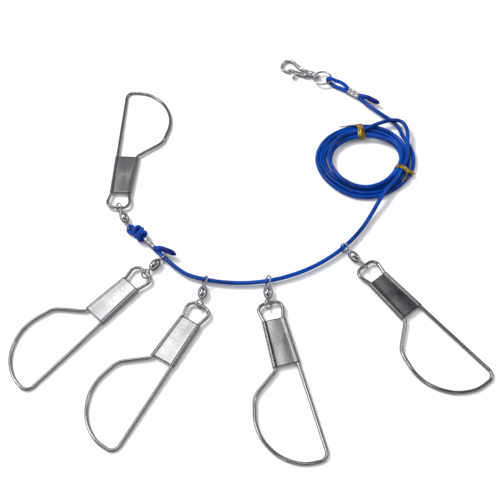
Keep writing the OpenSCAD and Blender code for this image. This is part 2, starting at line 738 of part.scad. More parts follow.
module clasp_body() {
  boss_r = boss_d / 2;
  foot = hook_path[0][1];
  stud_from = hub_at - hub_len / 2 - head_play;
  color(steel)
    at_clasp()
      difference() {
        union() {
          translate([shoulder, 0, 0])
            rotate([0, 90, 0])
              rotate_extrude($fn = 48)
                polygon([[0, 0], [boss_r * 0.85, 0], [boss_r, boss_r * 0.15],
                  [boss_r, boss_len - boss_r / 2], [boss_r / 2, boss_len], [0, boss_len]]);
          translate([stud_from, 0, 0])
            rotate([0, 90, 0])
              cylinder(h = shoulder - stud_from + over, d = stud_d, $fn = 24);
          translate([stud_from - stud_head_t, 0, 0])
            rotate([0, 90, 0])
              cylinder(h = stud_head_t, d = stud_head_d, $fn = 32);
          bent_wire(hook_path, hook_d);
          linear_extrude(lug_t, center = true) {
            translate(pivot)
              circle(r = lug_r, $fn = 48);
            polygon([[pivot[0] - lug_r, pivot[1]], [pivot[0] - 1.5 * lug_r, foot],
              [pivot[0] + 1.5 * lug_r, foot], [pivot[0] + lug_r, pivot[1]]]);
          }
        }
        translate([pivot[0] - 2 * lug_r, pivot[1] - lug_r - snap_gap, -gate_t / 2 - snap_gap])
          cube([4 * lug_r, 4 * lug_r, gate_t + 2 * snap_gap]);
        translate([pivot[0], pivot[1], 0])
          cylinder(h = lug_t + 2 * over, d = rivet_d + snap_gap / 2, center = true, $fn = 24);
      }
}

module clasp_rivet() {
  color(steel)
    at_clasp()
      translate([pivot[0], pivot[1], 0]) {
        cylinder(h = lug_t + 2 * rivet_head_t, d = rivet_d, center = true, $fn = 24);
        for (s = [-1, 1])
          translate([0, 0, s * (lug_t + rivet_head_t) / 2])
            cylinder(h = rivet_head_t, d = rivet_head_d, center = true, $fn = 24);
      }
}

// The gate's outline from its eye to the hook's tip, as shares of its reach and of its eye
gate_reach = hook_path[5][0] - pivot[0] + hook_d / 2;
gate_top = hook_path[5][1] - hook_d / 2 - snap_gap - pivot[1];
gate_hump = 0.48;
module clasp_gate() {
  r = gate_eye_d / 2;
  ball_up = gate_top + ball_d + r;
  color([0.6, 0.6, 0.63])
    at_clasp()
      translate([pivot[0], pivot[1], 0]) {
        difference() {
          linear_extrude(gate_t, center = true) {
            circle(r = r, $fn = 48);
            polygon([[0, -r], [gate_reach * 0.36, -r * 0.42], [gate_reach, gate_top - r],
              [gate_reach, gate_top], [gate_reach * 0.76, gate_top],
              [gate_reach * (gate_hump + 0.1), gate_top + r * 0.7],
              [gate_reach * (gate_hump - 0.1), gate_top + r * 0.7], [0, r]]);
          }
          cylinder(h = gate_t + 2 * over, d = rivet_d + 2 * snap_gap, center = true, $fn = 24);
        }
        translate([gate_reach * gate_hump, gate_top, 0])
          rotate([-90, 0, 0])
            cylinder(h = ball_up - gate_top, d = ball_stem_d, $fn = 24);
        translate([gate_reach * gate_hump, ball_up, 0])
          sphere(d = ball_d, $fn = 48);
      }
}

cord_run();
cord_coil();
cord_lead();
cord_knot();
cord_loop();
crimp(0);  // crimp_1
crimp(1);  // crimp_2
tie_1();
tie_2();
clasp_ring();
clasp_body();
clasp_rivet();
clasp_gate();
for (i = [0 : 4]) {
  clip_wire(i);
  clip_leg(i);
  clip_sleeve(i);
  swivel_cord_ring(i);
  swivel_barrel(i);
  swivel_eye_ring(i);
}
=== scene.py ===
"""Fish stringer: the looks of five wire clips on barrel swivels, a coated cord and a trigger snap.

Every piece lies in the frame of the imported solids. Sizes inside the functions are millimetres, and
settings and meshes are in metres. Angles are degrees, unless a name says turns or a comment says
radians.
"""

import math

import bpy
import numpy as np
from bpy.props import FloatProperty, FloatVectorProperty, IntProperty, PointerProperty
from mathutils import Matrix


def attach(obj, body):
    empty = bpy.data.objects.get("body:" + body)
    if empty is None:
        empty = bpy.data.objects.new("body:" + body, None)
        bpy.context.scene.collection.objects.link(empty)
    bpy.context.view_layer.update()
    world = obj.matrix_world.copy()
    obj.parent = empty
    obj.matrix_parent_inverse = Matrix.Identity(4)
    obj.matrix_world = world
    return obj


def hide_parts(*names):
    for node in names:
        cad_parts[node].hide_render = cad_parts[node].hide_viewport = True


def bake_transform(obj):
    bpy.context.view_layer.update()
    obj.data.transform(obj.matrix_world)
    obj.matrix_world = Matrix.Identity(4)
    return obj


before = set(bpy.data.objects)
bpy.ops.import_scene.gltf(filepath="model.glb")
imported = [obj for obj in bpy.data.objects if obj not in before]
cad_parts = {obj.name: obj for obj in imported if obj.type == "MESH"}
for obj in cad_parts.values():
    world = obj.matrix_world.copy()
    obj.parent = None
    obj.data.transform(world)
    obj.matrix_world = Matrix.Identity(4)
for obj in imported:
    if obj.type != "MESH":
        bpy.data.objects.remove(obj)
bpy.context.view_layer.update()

bl_info = {
    "name": "Fish Stringer",
    "version": (1, 0, 0),
    "blender": (4, 5, 0),
    "location": "3D View > Sidebar > Stringer",
    "description": "Dresses a fish stringer of wire clips, swivels, cord and snap",
    "category": "Object",
}

MM, CM = 0.001, 0.01
UP = np.array([0, 0, 1.0])

# The cord's arc: its middle, its radius and where the last three rings sit on it. The clips: each
# ring's place, or None on the arc, the swivel's heading, how far ring and bar sit off what they
# hold, the bar's offset along itself and the clip's heading
ARC_AT, RUN_R = np.array([9.0, 68.0, 0.0]), 112.5
ARC_ANGLES = (-18, 6, 39)
CLIPS = (
    ((-83, 12.6), 204, 0.6, 0.4, -1, 172.5),
    ((-56.8, -15.6), -42, -0.4, -0.8, 1.6, -47.5),
    (None, -12.5, 0.7, 0.6, -1.2, -35),
    (None, -4.5, -0.7, -0.8, -0.8, 10),
    (None, 38, 0.8, 0.9, 0, 35),
)
CORD_Z, SWIVEL_LEN, RING_R, RING_LEAN = 3.4, 20.4, 3.3, 54
RING_WIRE_R = 0.6

# The clip's outline
WIRE_R = 1.2
EYE_W, EYE_LEN, EYE_BEND, MOUTH_BEND = 20.6, 14, 5.2, 3
BOW_LEN, BOW_W, SHOULDER_BEND, CORNER_BEND = 71.5, 32.8, 4, 6
SLEEVE_LEN, SLEEVE_W_EYE, SLEEVE_W_BOW = 36, 17.4, 19.7
GRIP_LEN, SEAT_LEN = 14, 17
ROLL_IN, SHEET_T, PLATE_DROP = 1.28, 0.4, 0.3
LIP_WRAP, CRIMP_WRAP = 55, 118
ARC_SHARES = ((-0.832, 0.236), (-1, 0.578), (-0.655, 0.881), (-0.18, 0.993))
ARC_BENDS = (0.43, 1.02, 1.02, 0.76)
SLEEVE_END = EYE_LEN + SLEEVE_LEN
BOW_END = SLEEVE_END + BOW_LEN
WIRE_X = (SLEEVE_W_EYE / 2 - ROLL_IN - SHEET_T, SLEEVE_W_BOW / 2 - ROLL_IN - SHEET_T)

# The cord's crimps: middle, heading, and the roll of their strands
CRIMPS = (((-67, -4.4), -49.5, 90), ((106.4, 133), -41.5, 45))
CRIMP_LEN, STRAND_OFF, SQUEEZED_R = 10.5, 1.29, 1.25

# The coil: its middle, outer radius and step; its first and last angle, the lower layer's loops, the
# climb in loops and the lower layer's height; and how far the line dips while it climbs
COIL_AT, COIL_R, COIL_STEP = np.array([107.7, 62.9, 0.0]), 38.5, 3.5
COIL_FROM, COIL_TO, LOW_LOOPS, CLIMB, COIL_Z = 25, -37, 3.5, 0.5, 2.3
COIL_IN_R = COIL_R - COIL_STEP * LOW_LOOPS
CLIMB_DIP = 0.6

# The cord's radius, its play round a ring, and how far it goes straight on from a crimp or the coil
CORD_R, LOOP_PLAY, STRAIGHT = 1.5, 0.3, 3

# The snap
CLASP_AT, CLASP_ANGLE, LINK_R, LINK_WIRE_R = np.array([88.2, 148.7, 4.2]), 146.5, 7.4, 0.85
HUB_LEN, HEAD_PLAY, SNAP_LEN, SNAP_W, HOOK_R = 4, 0.15, 31, 15.4, 1.5
HUB_AT = 2 * LINK_R
SHOULDER = HUB_AT + HUB_LEN / 2 + HEAD_PLAY
DROOP = math.degrees(math.asin((CLASP_AT[2] - HOOK_R) / (SHOULDER + SNAP_LEN - HOOK_R)))
PIVOT_SHARES = (0.177, 0.208)
PIVOT = (SHOULDER + PIVOT_SHARES[0] * SNAP_LEN, PIVOT_SHARES[1] * SNAP_W)
GATE_T, CHEEK_T, LUG_R, GATE_EYE_R = 1.6, 0.8, 1.98, 1.9


# Shapes


def unit(v):
    """The vectors at length one."""
    return v / np.linalg.norm(v, axis=-1, keepdims=True)


def turn(axis, angle):
    """The matrix that turns by the angle about an axis, X, Y or Z."""
    return np.array(Matrix.Rotation(math.radians(angle), 3, axis))


def along(h):
    """The level direction of heading h, from +X towards +Y."""
    return np.array([math.cos(math.radians(h)), math.sin(math.radians(h)), 0.0])


def out_of(h):
    """The level direction that points along -Y at 0 and turns towards +X."""
    return along(h - 90)


def at_height(p, z):
    """The level place p at the height z."""
    return np.array([p[0], p[1], z], float)


def run_of(path):
    """How far along the path each of its points is."""
    return np.r_[0, np.cumsum(np.linalg.norm(np.diff(path, axis=0), axis=1))]


def evenly(path, step, closed=False):
    """The path with stations an even step apart, by straight lines between its points."""
    p = np.vstack([path, path[:1]]) if closed else np.asarray(path, float)
    s = run_of(p)
    t = np.linspace(0, s[-1], max(3, int(round(s[-1] / step))) + 1)
    q = np.stack([np.interp(t, s, p[:, k]) for k in range(p.shape[1])], 1)
    return q[:-1] if closed else q


def all_round(n):
    """As many even angles round a circle, in radians."""
    return np.linspace(0, 2 * np.pi, n, endpoint=False)


def arc(r, first, last, count):
    """Points on an arc about the origin, from one angle to another."""
    a = np.radians(np.linspace(first, last, count))
    return r * np.stack([np.cos(a), np.sin(a)], 1)


def through(points, fine=12):
    """A curve through the points: between two of them it is the blend of the four nearest, each
    knot as far from the last as the root of the distance (a centripetal spline)."""
    p = np.asarray(points, float)
    p = np.vstack([2 * p[0] - p[1], p, 2 * p[-1] - p[-2]])
    knots = np.r_[0, np.cumsum(np.sqrt(np.linalg.norm(np.diff(p, axis=0), axis=1)))][:, None]
    n = len(p) - 3
    t = [knots[k:n + k] for k in range(4)]
    x = t[1] + np.linspace(0, 1, fine, endpoint=False)[:, None, None] * (t[2] - t[1])

    def blend(a, b, i, j):
        return ((t[j] - x) * a + (x - t[i]) * b) / (t[j] - t[i])

    a = [blend(p[k:n + k], p[k + 1:n + k + 1], k, k + 1) for k in range(3)]
    b = [blend(a[k], a[k + 1], k, k + 2) for k in range(2)]
    return np.vstack([blend(*b, 1, 2).transpose(1, 0, 2).reshape(-1, 3), p[-2]])


def rounded(corners, radii, fine=4.0):
    """Straight lines between the corners, with each corner rounded by an arc of its radius that
    touches both lines."""
    c = [np.array([x[0], x[1], 0.0]) for x in corners]
    path = [c[0]]
    for k in range(1, len(c) - 1):
        u, v = unit(c[k] - c[k - 1]), unit(c[k + 1] - c[k])
        bend = math.acos(max(-1.0, min(1.0, float(u @ v))))
        start = c[k] - radii[k] * math.tan(bend / 2) * u
        side = np.sign(u[0] * v[1] - u[1] * v[0])
        inward = side * np.array([-u[1], u[0], 0.0])
        a = np.linspace(0, bend, max(3, int(math.degrees(bend) / fine)))[:, None]
        path.extend(start + radii[k] * (np.sin(a) * u + (1 - np.cos(a)) * inward))
    path.append(c[-1])
    return np.array(path)


def frames(path, up=None, closed=False):
    """The path's own directions at each station. With up, the side is up crossed with the way on;
    without, the first side is carried on from station to station with no twist."""
    ahead = np.roll(path, -1, 0) - path
    back = path - np.roll(path, 1, 0)
    if not closed:
        ahead[-1], back[0] = back[-1], ahead[0]
    t = unit(unit(ahead) + unit(back))
    if up is not None:
        side = unit(np.cross(up, t))
        return t, side, np.cross(t, side)
    side = np.zeros_like(t)
    side[0] = unit(np.cross([0, 0, 1] if abs(t[0, 2]) < 0.9 else [1, 0, 0], t[0]))
    for k in range(1, len(t)):
        side[k] = unit(side[k - 1] - (side[k - 1] @ t[k]) * t[k])
    return t, side, np.cross(t, side)


def part(points, loop=False, wide=1.0, rim=0.0):
    """One surface: a grid of points over two parameters, the second of which closes. loop closes
    the first too, and without it the grid gets an end face at each end. wide is the second
    parameter's size in UV, and rim is a share at each point that the finish reads: wear on the
    crimps' ends, painted shade along the sleeves' cut edges, and the dark of the cord's melted tails."""
    return {"points": points, "loop": loop, "wide": wide, "rim": rim}


# The angles from its axis at which a tube's domed end has a ring of points
DOME = (8.0, 30.0, 55.0, 75.0)


def tube(path, radius, sides=16, up=None, closed=False, dome=True, wide=None):
    """A round tube: the station's point plus its radius times cos a of the side and sin a of the
    top, for a round the tube. Open ends are domed."""
    path = np.asarray(path, float)
    r = np.broadcast_to(np.asarray(radius, float), (len(path),)).copy()
    t, side, top = frames(path, up, closed)
    if dome and not closed:
        q = np.radians(DOME)[:, None]
        head = path[0] - r[0] * np.cos(q) * t[0]
        tail = path[-1] + r[-1] * np.cos(q[::-1]) * t[-1]
        path = np.vstack([head, path, tail])
        r = np.r_[r[0] * np.sin(q[:, 0]), r, r[-1] * np.sin(q[::-1, 0])]
        side, top = (np.pad(x, ((len(q), len(q)), (0, 0)), "edge") for x in (side, top))
    a = all_round(sides)[None, :, None]
    points = path[:, None] + r[:, None, None] * (np.cos(a) * side[:, None] + np.sin(a) * top[:, None])
    return part(points, loop=closed, wide=wide or 2 * np.pi * float(np.median(r)) / 10)


def lathe(profile, sides=48, loop=False, at=0.0):
    """A turned shape: each profile point is how far along +X, from at, and how far from it."""
    p = np.asarray(profile, float)
    a = all_round(sides)[None, :]
    r = np.maximum(p[:, 1:], 0.01)
    return part(np.stack([np.repeat(p[:, :1] + at, sides, 1), r * np.cos(a), r * np.sin(a)], -1), loop=loop)


def two_ended(end, middle=()):
    """The profile of an end, then the middle, then the end's mirror image."""
    return [*end, *middle, *[(-x, r) for x, r in end[::-1]]]


def plate(outline, thick, bevel, z=0.0):
    """A flat shape with its outline's edges eased: the outline drawn in by the bevel on both
    faces, about the outline's middle."""
    o = np.asarray(outline, float)
    mid = o.mean(0)
    size = np.abs(o - mid).max()
    inner = mid + (o - mid) * (1 - bevel / size)
    rows = [(inner, -thick / 2), (o, -thick / 2 + bevel), (o, thick / 2 - bevel), (inner, thick / 2)]
    return part(np.stack([np.c_[q, np.full(len(q), z + h)] for q, h in rows]))


def placed(p, matrix, move):
    """The surface, turned by the matrix and moved."""
    return {**p, "points": p["points"] @ np.asarray(matrix).T + np.asarray(move, float)}


def faces_of(n, m, loop):
    """Four corners of each cell of a grid of n by m points, and each corner's two parameters."""
    i, j = np.divmod(np.arange((n if loop else n - 1) * m), m)
    gi, gj = i[:, None] + [0, 1, 1, 0], j[:, None] + [0, 0, 1, 1]
    return (gi % n) * m + gj % m, gi, gj


def mesh_of(name, parts, sharp):
    """One mesh of several surfaces, with faces outwards, in metres. Its UV gives centimetres along
    each surface, and round it."""
    verts, corners, sizes, uvs, rims, base = [], [], [], [], [], 0
    for p in parts:
        g = p["points"]
        n, m = g.shape[:2]
        flat = g.reshape(-1, 3)
        quads, gi, gj = faces_of(n, m, p["loop"])
        s = run_of(np.vstack([g.mean(1), g[:1].mean(1)])) / 10
        uv = np.stack([s[gi], p["wide"] * gj / m], -1)
        fans = [] if p["loop"] else [np.arange(m)[::-1], np.arange(m) + (n - 1) * m]
        faces = [flat[quads], *[flat[None, f] for f in fans]]
        volume = sum((q[:, :1] * np.cross(q[:, 1:-1], q[:, 2:])).sum() for q in faces)
        if volume < 0:
            quads, uv, fans = quads[:, ::-1], uv[:, ::-1], [f[::-1] for f in fans]
        verts.append(flat)
        corners += [quads.ravel() + base, *[f + base for f in fans]]
        sizes += [[4] * len(quads), *[[m] for f in fans]]
        uvs += [uv.reshape(-1, 2), *[np.c_[np.zeros(m), np.arange(m) / m] for f in fans]]
        rims.append(np.broadcast_to(p["rim"], (n, m)).ravel())
        base += n * m
    me = bpy.data.meshes.new(name)
    co, index, size = np.vstack(verts) * MM, np.concatenate(corners), np.concatenate(sizes)
    me.vertices.add(len(co))
    me.vertices.foreach_set("co", co.astype(np.float32).ravel())
    me.loops.add(len(index))
    me.loops.foreach_set("vertex_index", index.astype(np.int32))
    me.polygons.add(len(size))
    me.polygons.foreach_set("loop_start", np.r_[0, np.cumsum(size)[:-1]].astype(np.int32))
    me.update(calc_edges=True)
    me.uv_layers.new(name="UVMap").data.foreach_set("uv", np.vstack(uvs).astype(np.float32).ravel())
    rim = me.attributes.new("rim", "FLOAT", "POINT")
    rim.data.foreach_set("value", np.concatenate(rims).astype(np.float32))
    me.validate()
    me.shade_smooth()
    me.set_sharp_from_angle(angle=math.radians(sharp))
    return me


def piece(name, parts, material, body, stands_for, sharp=38.0, cast=None):
    """A finished piece of the surfaces. With cast, they are run together into one skin of that
    grain and smoothed, as metal is that was poured."""
    me = mesh_of(name, parts, sharp)
    o = bpy.data.objects.new(name, me)
    bpy.context.scene.collection.objects.link(o)
    if cast:
        grain = o.modifiers.new("grain", "REMESH")
        grain.mode, grain.voxel_size = "VOXEL", cast * MM
        ease = o.modifiers.new("ease", "SMOOTH")
        ease.factor, ease.iterations = 0.5, 7
        bpy.context.view_layer.update()
        o.data = bpy.data.meshes.new_from_object(o.evaluated_get(bpy.context.evaluated_depsgraph_get()))
        o.modifiers.clear()
        bpy.data.meshes.remove(me)
        o.data.shade_smooth()
    o.data.materials.append(material)
    if body:
        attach(o, body)
    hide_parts(*stands_for)
    return o


# Places


def ring_at(i):
    """The middle of the ring of swivel i on the cord."""
    place, heading, slack = CLIPS[i][:3]
    p = ARC_AT + RUN_R * out_of(ARC_ANGLES[i - 2]) if place is None else at_height(place, 0)
    return at_height(p + slack * out_of(heading), CORD_Z)


def bar_at(i):
    """The middle of the eye bar of clip i."""
    heading, slack, offset, clip = CLIPS[i][1], CLIPS[i][3], CLIPS[i][4], CLIPS[i][5]
    p = ring_at(i) + (SWIVEL_LEN + slack) * out_of(heading) - offset * along(clip)
    return at_height(p, CORD_Z - RING_R * math.sin(math.radians(RING_LEAN)) + 2 * RING_WIRE_R + WIRE_R)


def at_clip(i):
    """The turn and the place of clip i, whose bow end touches the floor."""
    p = bar_at(i)
    lay = math.degrees(math.asin((p[2] - WIRE_R) / BOW_END))
    return turn("Z", CLIPS[i][5]) @ turn("X", lay), p


def side_x(y):
    """How far the clip's side wire is from its middle line, y beyond the eye bar."""
    return WIRE_X[0] + (y - EYE_LEN) * (WIRE_X[1] - WIRE_X[0]) / SLEEVE_LEN


def strand_at(k, up, way):
    """Where a strand leaves crimp k: up is 1 for the tail's strand, and way is -1 at the loop."""
    (x, y), h, roll = CRIMPS[k]
    h, roll = math.radians(h), math.radians(roll)
    lift = np.array([-math.sin(h) * math.cos(roll), math.cos(h) * math.cos(roll), math.sin(roll)])
    return at_height((x, y), CORD_Z) + up * STRAND_OFF * lift + way * CRIMP_LEN / 2 * along(CRIMPS[k][1])


# Finishes


def fill(tree, n, inputs):
    """Sets a node's inputs: an output is linked to its input, and any other value is put in."""
    for key, value in inputs.items():
        if isinstance(value, bpy.types.NodeSocket):
            tree.links.new(value, n.inputs[key])
        else:
            n.inputs[key].default_value = value


def node(tree, kind, inputs, **settings):
    """A node with its settings, and with values or links in its inputs."""
    n = tree.nodes.new(kind)
    for key, value in settings.items():
        setattr(n, key, value)
    fill(tree, n, inputs)
    return n


def math_of(tree, operation, a, b=0.0, c=0.0, clamp=False):
    """One sum of up to three numbers."""
    return node(tree, "ShaderNodeMath", {0: a, 1: b, 2: c}, operation=operation, use_clamp=clamp).outputs[0]


def ranged(tree, value, low, high, to_low, to_high):
    """The value, moved from one range to another and kept inside it."""
    return node(tree, "ShaderNodeMapRange", {0: value, 1: low, 2: high, 3: to_low, 4: to_high}).outputs[0]


def mixed(tree, share, a, b):
    """Two colours mixed by the share."""
    return node(tree, "ShaderNodeMix", {0: share, 6: a, 7: b}, data_type="RGBA").outputs[2]


def vector_math(tree, operation, inputs):
    """The outputs of one sum with vectors."""
    return node(tree, "ShaderNodeVectorMath", inputs, operation=operation).outputs


def scaled(colour, factor=1.0):
    """A colour with its alpha, each part times the factor and no more than 1."""
    return (*[min(1, x * factor) for x in colour], 1)


def noise(tree, vector, scale, detail=3.0, rough=0.5):
    """Plain noise over the vector."""
    values = {"Vector": vector, "Scale": scale, "Detail": detail, "Roughness": rough}
    return node(tree, "ShaderNodeTexNoise", values).outputs["Fac"]


def bumped(tree, depth, height, strength=1.0):
    """The normal of a relief of that depth in millimetres."""
    values = {"Strength": strength, "Distance": depth * MM, "Height": height}
    return node(tree, "ShaderNodeBump", values).outputs[0]


def shared(tree, name, inputs, outs, build):
    """The outputs of a shared effect, a node group that is built once, placed in a material."""
    g = bpy.data.node_groups.get(name)
    if g is None:
        g = bpy.data.node_groups.new(name, "ShaderNodeTree")
        for key in inputs:
            kind = "Float" if key in ("Scale", "Amount") else "Vector"
            g.interface.new_socket(name=key, in_out="INPUT", socket_type=f"NodeSocket{kind}")
        for key in outs:
            g.interface.new_socket(name=key, in_out="OUTPUT", socket_type="NodeSocketFloat")
        source = g.nodes.new("NodeGroupInput")
        fill(g, g.nodes.new("NodeGroupOutput"), build(g, source.outputs))
    return node(tree, "ShaderNodeGroup", inputs, node_tree=g).outputs


def grain(tree, vector, size):
    """Fine streaks that run one way: noise stretched along the first part of the vector, at two
    sizes, with the wider one breaking the finer one up."""

    def build(g, i):
        fine = vector_math(g, "MULTIPLY", {0: i["Vector"], 1: i["Size"]})[0]
        streak = noise(g, fine, 1.0, 2.0, 0.6)
        wide = vector_math(g, "SCALE", {0: fine, "Scale": 0.17})[0]
        patch = noise(g, wide, 1.0, 2.0, 0.5)
        both = math_of(g, "MULTIPLY_ADD", streak, 0.65, math_of(g, "MULTIPLY", patch, 0.35))
        return {"Shade": ranged(g, both, 0.3, 0.7, 0.0, 1.0), "Height": both}

    return shared(tree, "drawn_grain", {"Vector": vector, "Size": size}, ("Shade", "Height"), build)


def handling(tree, vector, scale):
    """Where fingers and water left a metal duller: soft clouds with a few specks in them."""

    def build(g, i):
        cloud = noise(g, i["Vector"], i["Scale"], 3.0, 0.55)
        speck = node(g, "ShaderNodeTexVoronoi",
                     {"Vector": i["Vector"], "Scale": math_of(g, "MULTIPLY", i["Scale"], 9.0)})
        dots = ranged(g, speck.outputs["Distance"], 0.04, 0.13, 1.0, 0.0)
        rare = ranged(g, cloud, 0.52, 0.62, 0.0, 1.0)
        return {"Dull": ranged(g, cloud, 0.35, 0.7, 0.0, 1.0), "Specks": math_of(g, "MULTIPLY", dots, rare)}

    return shared(tree, "handling", {"Vector": vector, "Scale": scale}, ("Dull", "Specks"), build)


def edge_wear_and_shade(tree, vector, amount):
    """An edge mark, the piece's own rim value broken up by noise: wear where the finish brightens
    it, painted shade where it darkens the sleeves' cut edges.
    """

    def build(g, i):
        rim = node(g, "ShaderNodeAttribute", {}, attribute_name="rim").outputs["Fac"]
        broken = ranged(g, noise(g, i["Vector"], 900.0, 2.0, 0.6), 0.3, 0.6, 0.55, 1.0)
        value = math_of(g, "MULTIPLY", rim, broken)
        return {"WearAndShade": math_of(g, "MULTIPLY", value, i["Amount"], clamp=True)}

    return shared(tree, "edge_wear_and_shade", {"Vector": vector, "Amount": amount}, ("WearAndShade",), build)["WearAndShade"]


def material_of(name, build):
    """A material, made once: build gives its shader's inputs from the object and UV coordinates."""
    m = bpy.data.materials.get(name)
    if m is None:
        m = bpy.data.materials.new(name)
        m.use_nodes = True
        t = m.node_tree
        at = t.nodes.new("ShaderNodeTexCoord").outputs
        fill(t, t.nodes["Principled BSDF"], build(t, at["Object"], at["UV"]))
    return m


def metal(name, colour, shade, rough, dull, bump, scale, streaks=None, anisotropic=0.0, rim=0.0, edge=1.35,
          metallic=1.0):
    """A bare metal: its colour darkened in the grain's streaks, rougher where it was handled, and in
    another shade and smoother along its marked edges: brighter wear on the crimps' ends, painted
    shade on the sleeves' cut edges."""

    def build(t, at, uv):
        hand = handling(t, at, scale)
        if streaks:
            lines = grain(t, uv, streaks)
            share = math_of(t, "MULTIPLY_ADD", lines["Shade"], 0.7, math_of(t, "MULTIPLY", hand["Dull"], 0.3))
            height = lines["Height"]
        else:
            share, height = hand["Dull"], noise(t, at, scale * 12)
        colour_out = mixed(t, share, scaled(colour, shade), scaled(colour))
        roughness = ranged(t, share, 0.0, 1.0, rough + dull, rough)
        if rim:
            # Marked edges take edge times the colour: above one as wear, below one as painted shade
            wear_and_shade = edge_wear_and_shade(t, at, rim)
            colour_out = mixed(t, wear_and_shade, colour_out, scaled(colour, edge))
            roughness = math_of(t, "SUBTRACT", roughness, math_of(t, "MULTIPLY", wear_and_shade, rough * 0.5))
        return {"Base Color": colour_out, "Metallic": metallic, "Anisotropic": anisotropic,
                "Roughness": math_of(t, "MULTIPLY_ADD", hand["Specks"], 0.2, roughness),
                "Normal": bumped(t, bump, height)}

    return material_of(name, build)


def wire_finish():
    """Drawn stainless spring wire, with lines along its length."""
    c = bpy.context.scene.stringer_clips
    return metal("drawn_wire", c.wire_colour, shade=0.8, rough=0.06, dull=0.05, bump=0.003, scale=90,
                 streaks=(0.6, 26, 1))


# How light each clip's sheet is painted: each clip's copy of the sheet is lightened or darkened
# to stand in for the light it mirrors, painted light and shade
SHEET_PAINTED_SHADES = (0.95, 1.08, 1.05, 1.0, 0.95)


def sleeve_finish(k):
    """Brushed sheet with streaks across the clip, with painted shade along its cut edges, and each
    clip's copy lightened or darkened as painted light.
    """
    c = bpy.context.scene.stringer_clips
    # The copy's colour is scaled by its painted shade, and edge=0.3 paints shade on its cut edges
    return metal(f"brushed_sheet_in_painted_light_{k + 1}", [x * SHEET_PAINTED_SHADES[k] for x in c.sheet_colour], shade=0.74,
                 rough=c.sheet_roughness, dull=0.12, bump=0.012, scale=45, streaks=(95, 3.2, 1),
                 anisotropic=0.45, rim=1.0, edge=0.3)


def chrome_finish():
    """The snap's bright plating."""
    c = bpy.context.scene.stringer_metal
    return metal("chrome", c.chrome_colour, shade=0.86, rough=c.chrome_roughness, dull=0.1, bump=0.012,
                 scale=80, rim=0.6, metallic=0.93)


def satin_finish():
    """Tumbled nickel of the swivels, softer than the snap's plating."""
    c = bpy.context.scene.stringer_metal
    return metal("tumbled_nickel", c.nickel_colour, shade=0.8, rough=0.12, dull=0.1, bump=0.015, scale=110,
                 rim=0.6)


def crimp_finish():
    """Soft bright tube of the crimps, with brighter ends."""
    c = bpy.context.scene.stringer_metal
    return metal("crimp_alloy", c.crimp_colour, shade=0.85, rough=0.22, dull=0.1, bump=0.012, scale=70,
                 streaks=(4, 14, 1), rim=1.0)


def foil_finish():
    """Gold foil on a twist tie: creased all over, with painted shade in the creases, darker and browner."""
    c = bpy.context.scene.stringer_metal

    def build(t, at, uv):
        crease, large = (noise(t, at, scale) for scale in (330.0, 160.0))
        share = ranged(t, math_of(t, "ADD", crease, large), 0.75, 1.2, 0.0, 1.0)
        # The creases' darker brown is painted shade
        crease_shade = (*np.multiply(c.foil_colour, (0.42, 0.34, 0.25)), 1)
        return {"Base Color": mixed(t, share, crease_shade, scaled(c.foil_colour)), "Metallic": 1.0,
                "Roughness": ranged(t, crease, 0.3, 0.7, 0.34, 0.16), "Normal": bumped(t, 0.16, crease)}

    return material_of("gold_foil", build)


def cord_finish():
    """Blue braid in a clear coat: two families of strands that cross, in the cord's blue on their
    crowns and in painted shade between them, with the braid's own slow changes of shade along the
    cord, and darker in the tails, where the cut ends were melted."""
    c = bpy.context.scene.stringer_cord

    def build(t, at, uv):
        along_it, round_it = node(t, "ShaderNodeSeparateXYZ", {0: uv}).outputs[:2]
        go = math_of(t, "MULTIPLY", along_it, CM / c.braid_pitch)
        rise = math_of(t, "MULTIPLY", round_it, float(c.braid_strands))
        ways = [math_of(t, "MULTIPLY_ADD", rise, sign, go) for sign in (1.0, -1.0)]
        waves = [math_of(t, "SINE", math_of(t, "MULTIPLY", way, 2 * math.pi)) for way in ways]
        crown = ranged(t, math_of(t, "MULTIPLY", *waves), -0.7, 0.9, 0.0, 1.0)
        stretched = node(t, "ShaderNodeMapping", {"Vector": uv, "Scale": (22, 9, 1)}).outputs[0]
        thread, slow = noise(t, stretched, 1.0, 3.0, 0.6), noise(t, at, 55.0, 2.0)
        share = math_of(t, "MULTIPLY_ADD", crown, 0.6, math_of(t, "MULTIPLY", thread, 0.4))
        share = math_of(t, "ADD", share, ranged(t, slow, 0.3, 0.7, -0.22, 0.22), clamp=True)
        # Low shares go to the painted shade between the strands
        colour = mixed(t, share, scaled(c.gap_shade_colour), scaled(c.crown_colour))
        tail = node(t, "ShaderNodeAttribute", {}, attribute_name="rim").outputs["Fac"]
        return {"Base Color": mixed(t, math_of(t, "MULTIPLY", tail, 0.9), colour, scaled(c.tail_colour)),
                "Roughness": ranged(t, crown, 0.0, 1.0, 0.55, 0.38), "Normal": bumped(t, 0.17, crown, 0.8),
                "Coat Weight": 0.7, "Coat Roughness": 0.05, "Coat IOR": 1.5,
                "Specular IOR Level": 0.08, "Specular Tint": (0.3, 0.6, 1, 1)}

    return material_of("coated_braid", build)


# Settings


def number_value(name, words, value, low, **more):
    """A number that a user may change."""
    return FloatProperty(name=name, description=words, default=value, min=low, **more)


def size_value(name, words, value, low, high):
    """A length that a user may change."""
    return number_value(name, words, value, low, max=high, unit="LENGTH", precision=5)


def colour_value(name, words, value):
    """A colour that a user may change."""
    return FloatVectorProperty(name=name, description=words, default=value, size=3, min=0, max=1,
                               subtype="COLOR")


def share_value(name, words, value):
    """A share from 0 to 1 that a user may change."""
    return number_value(name, words, value, 0, max=1, subtype="FACTOR")


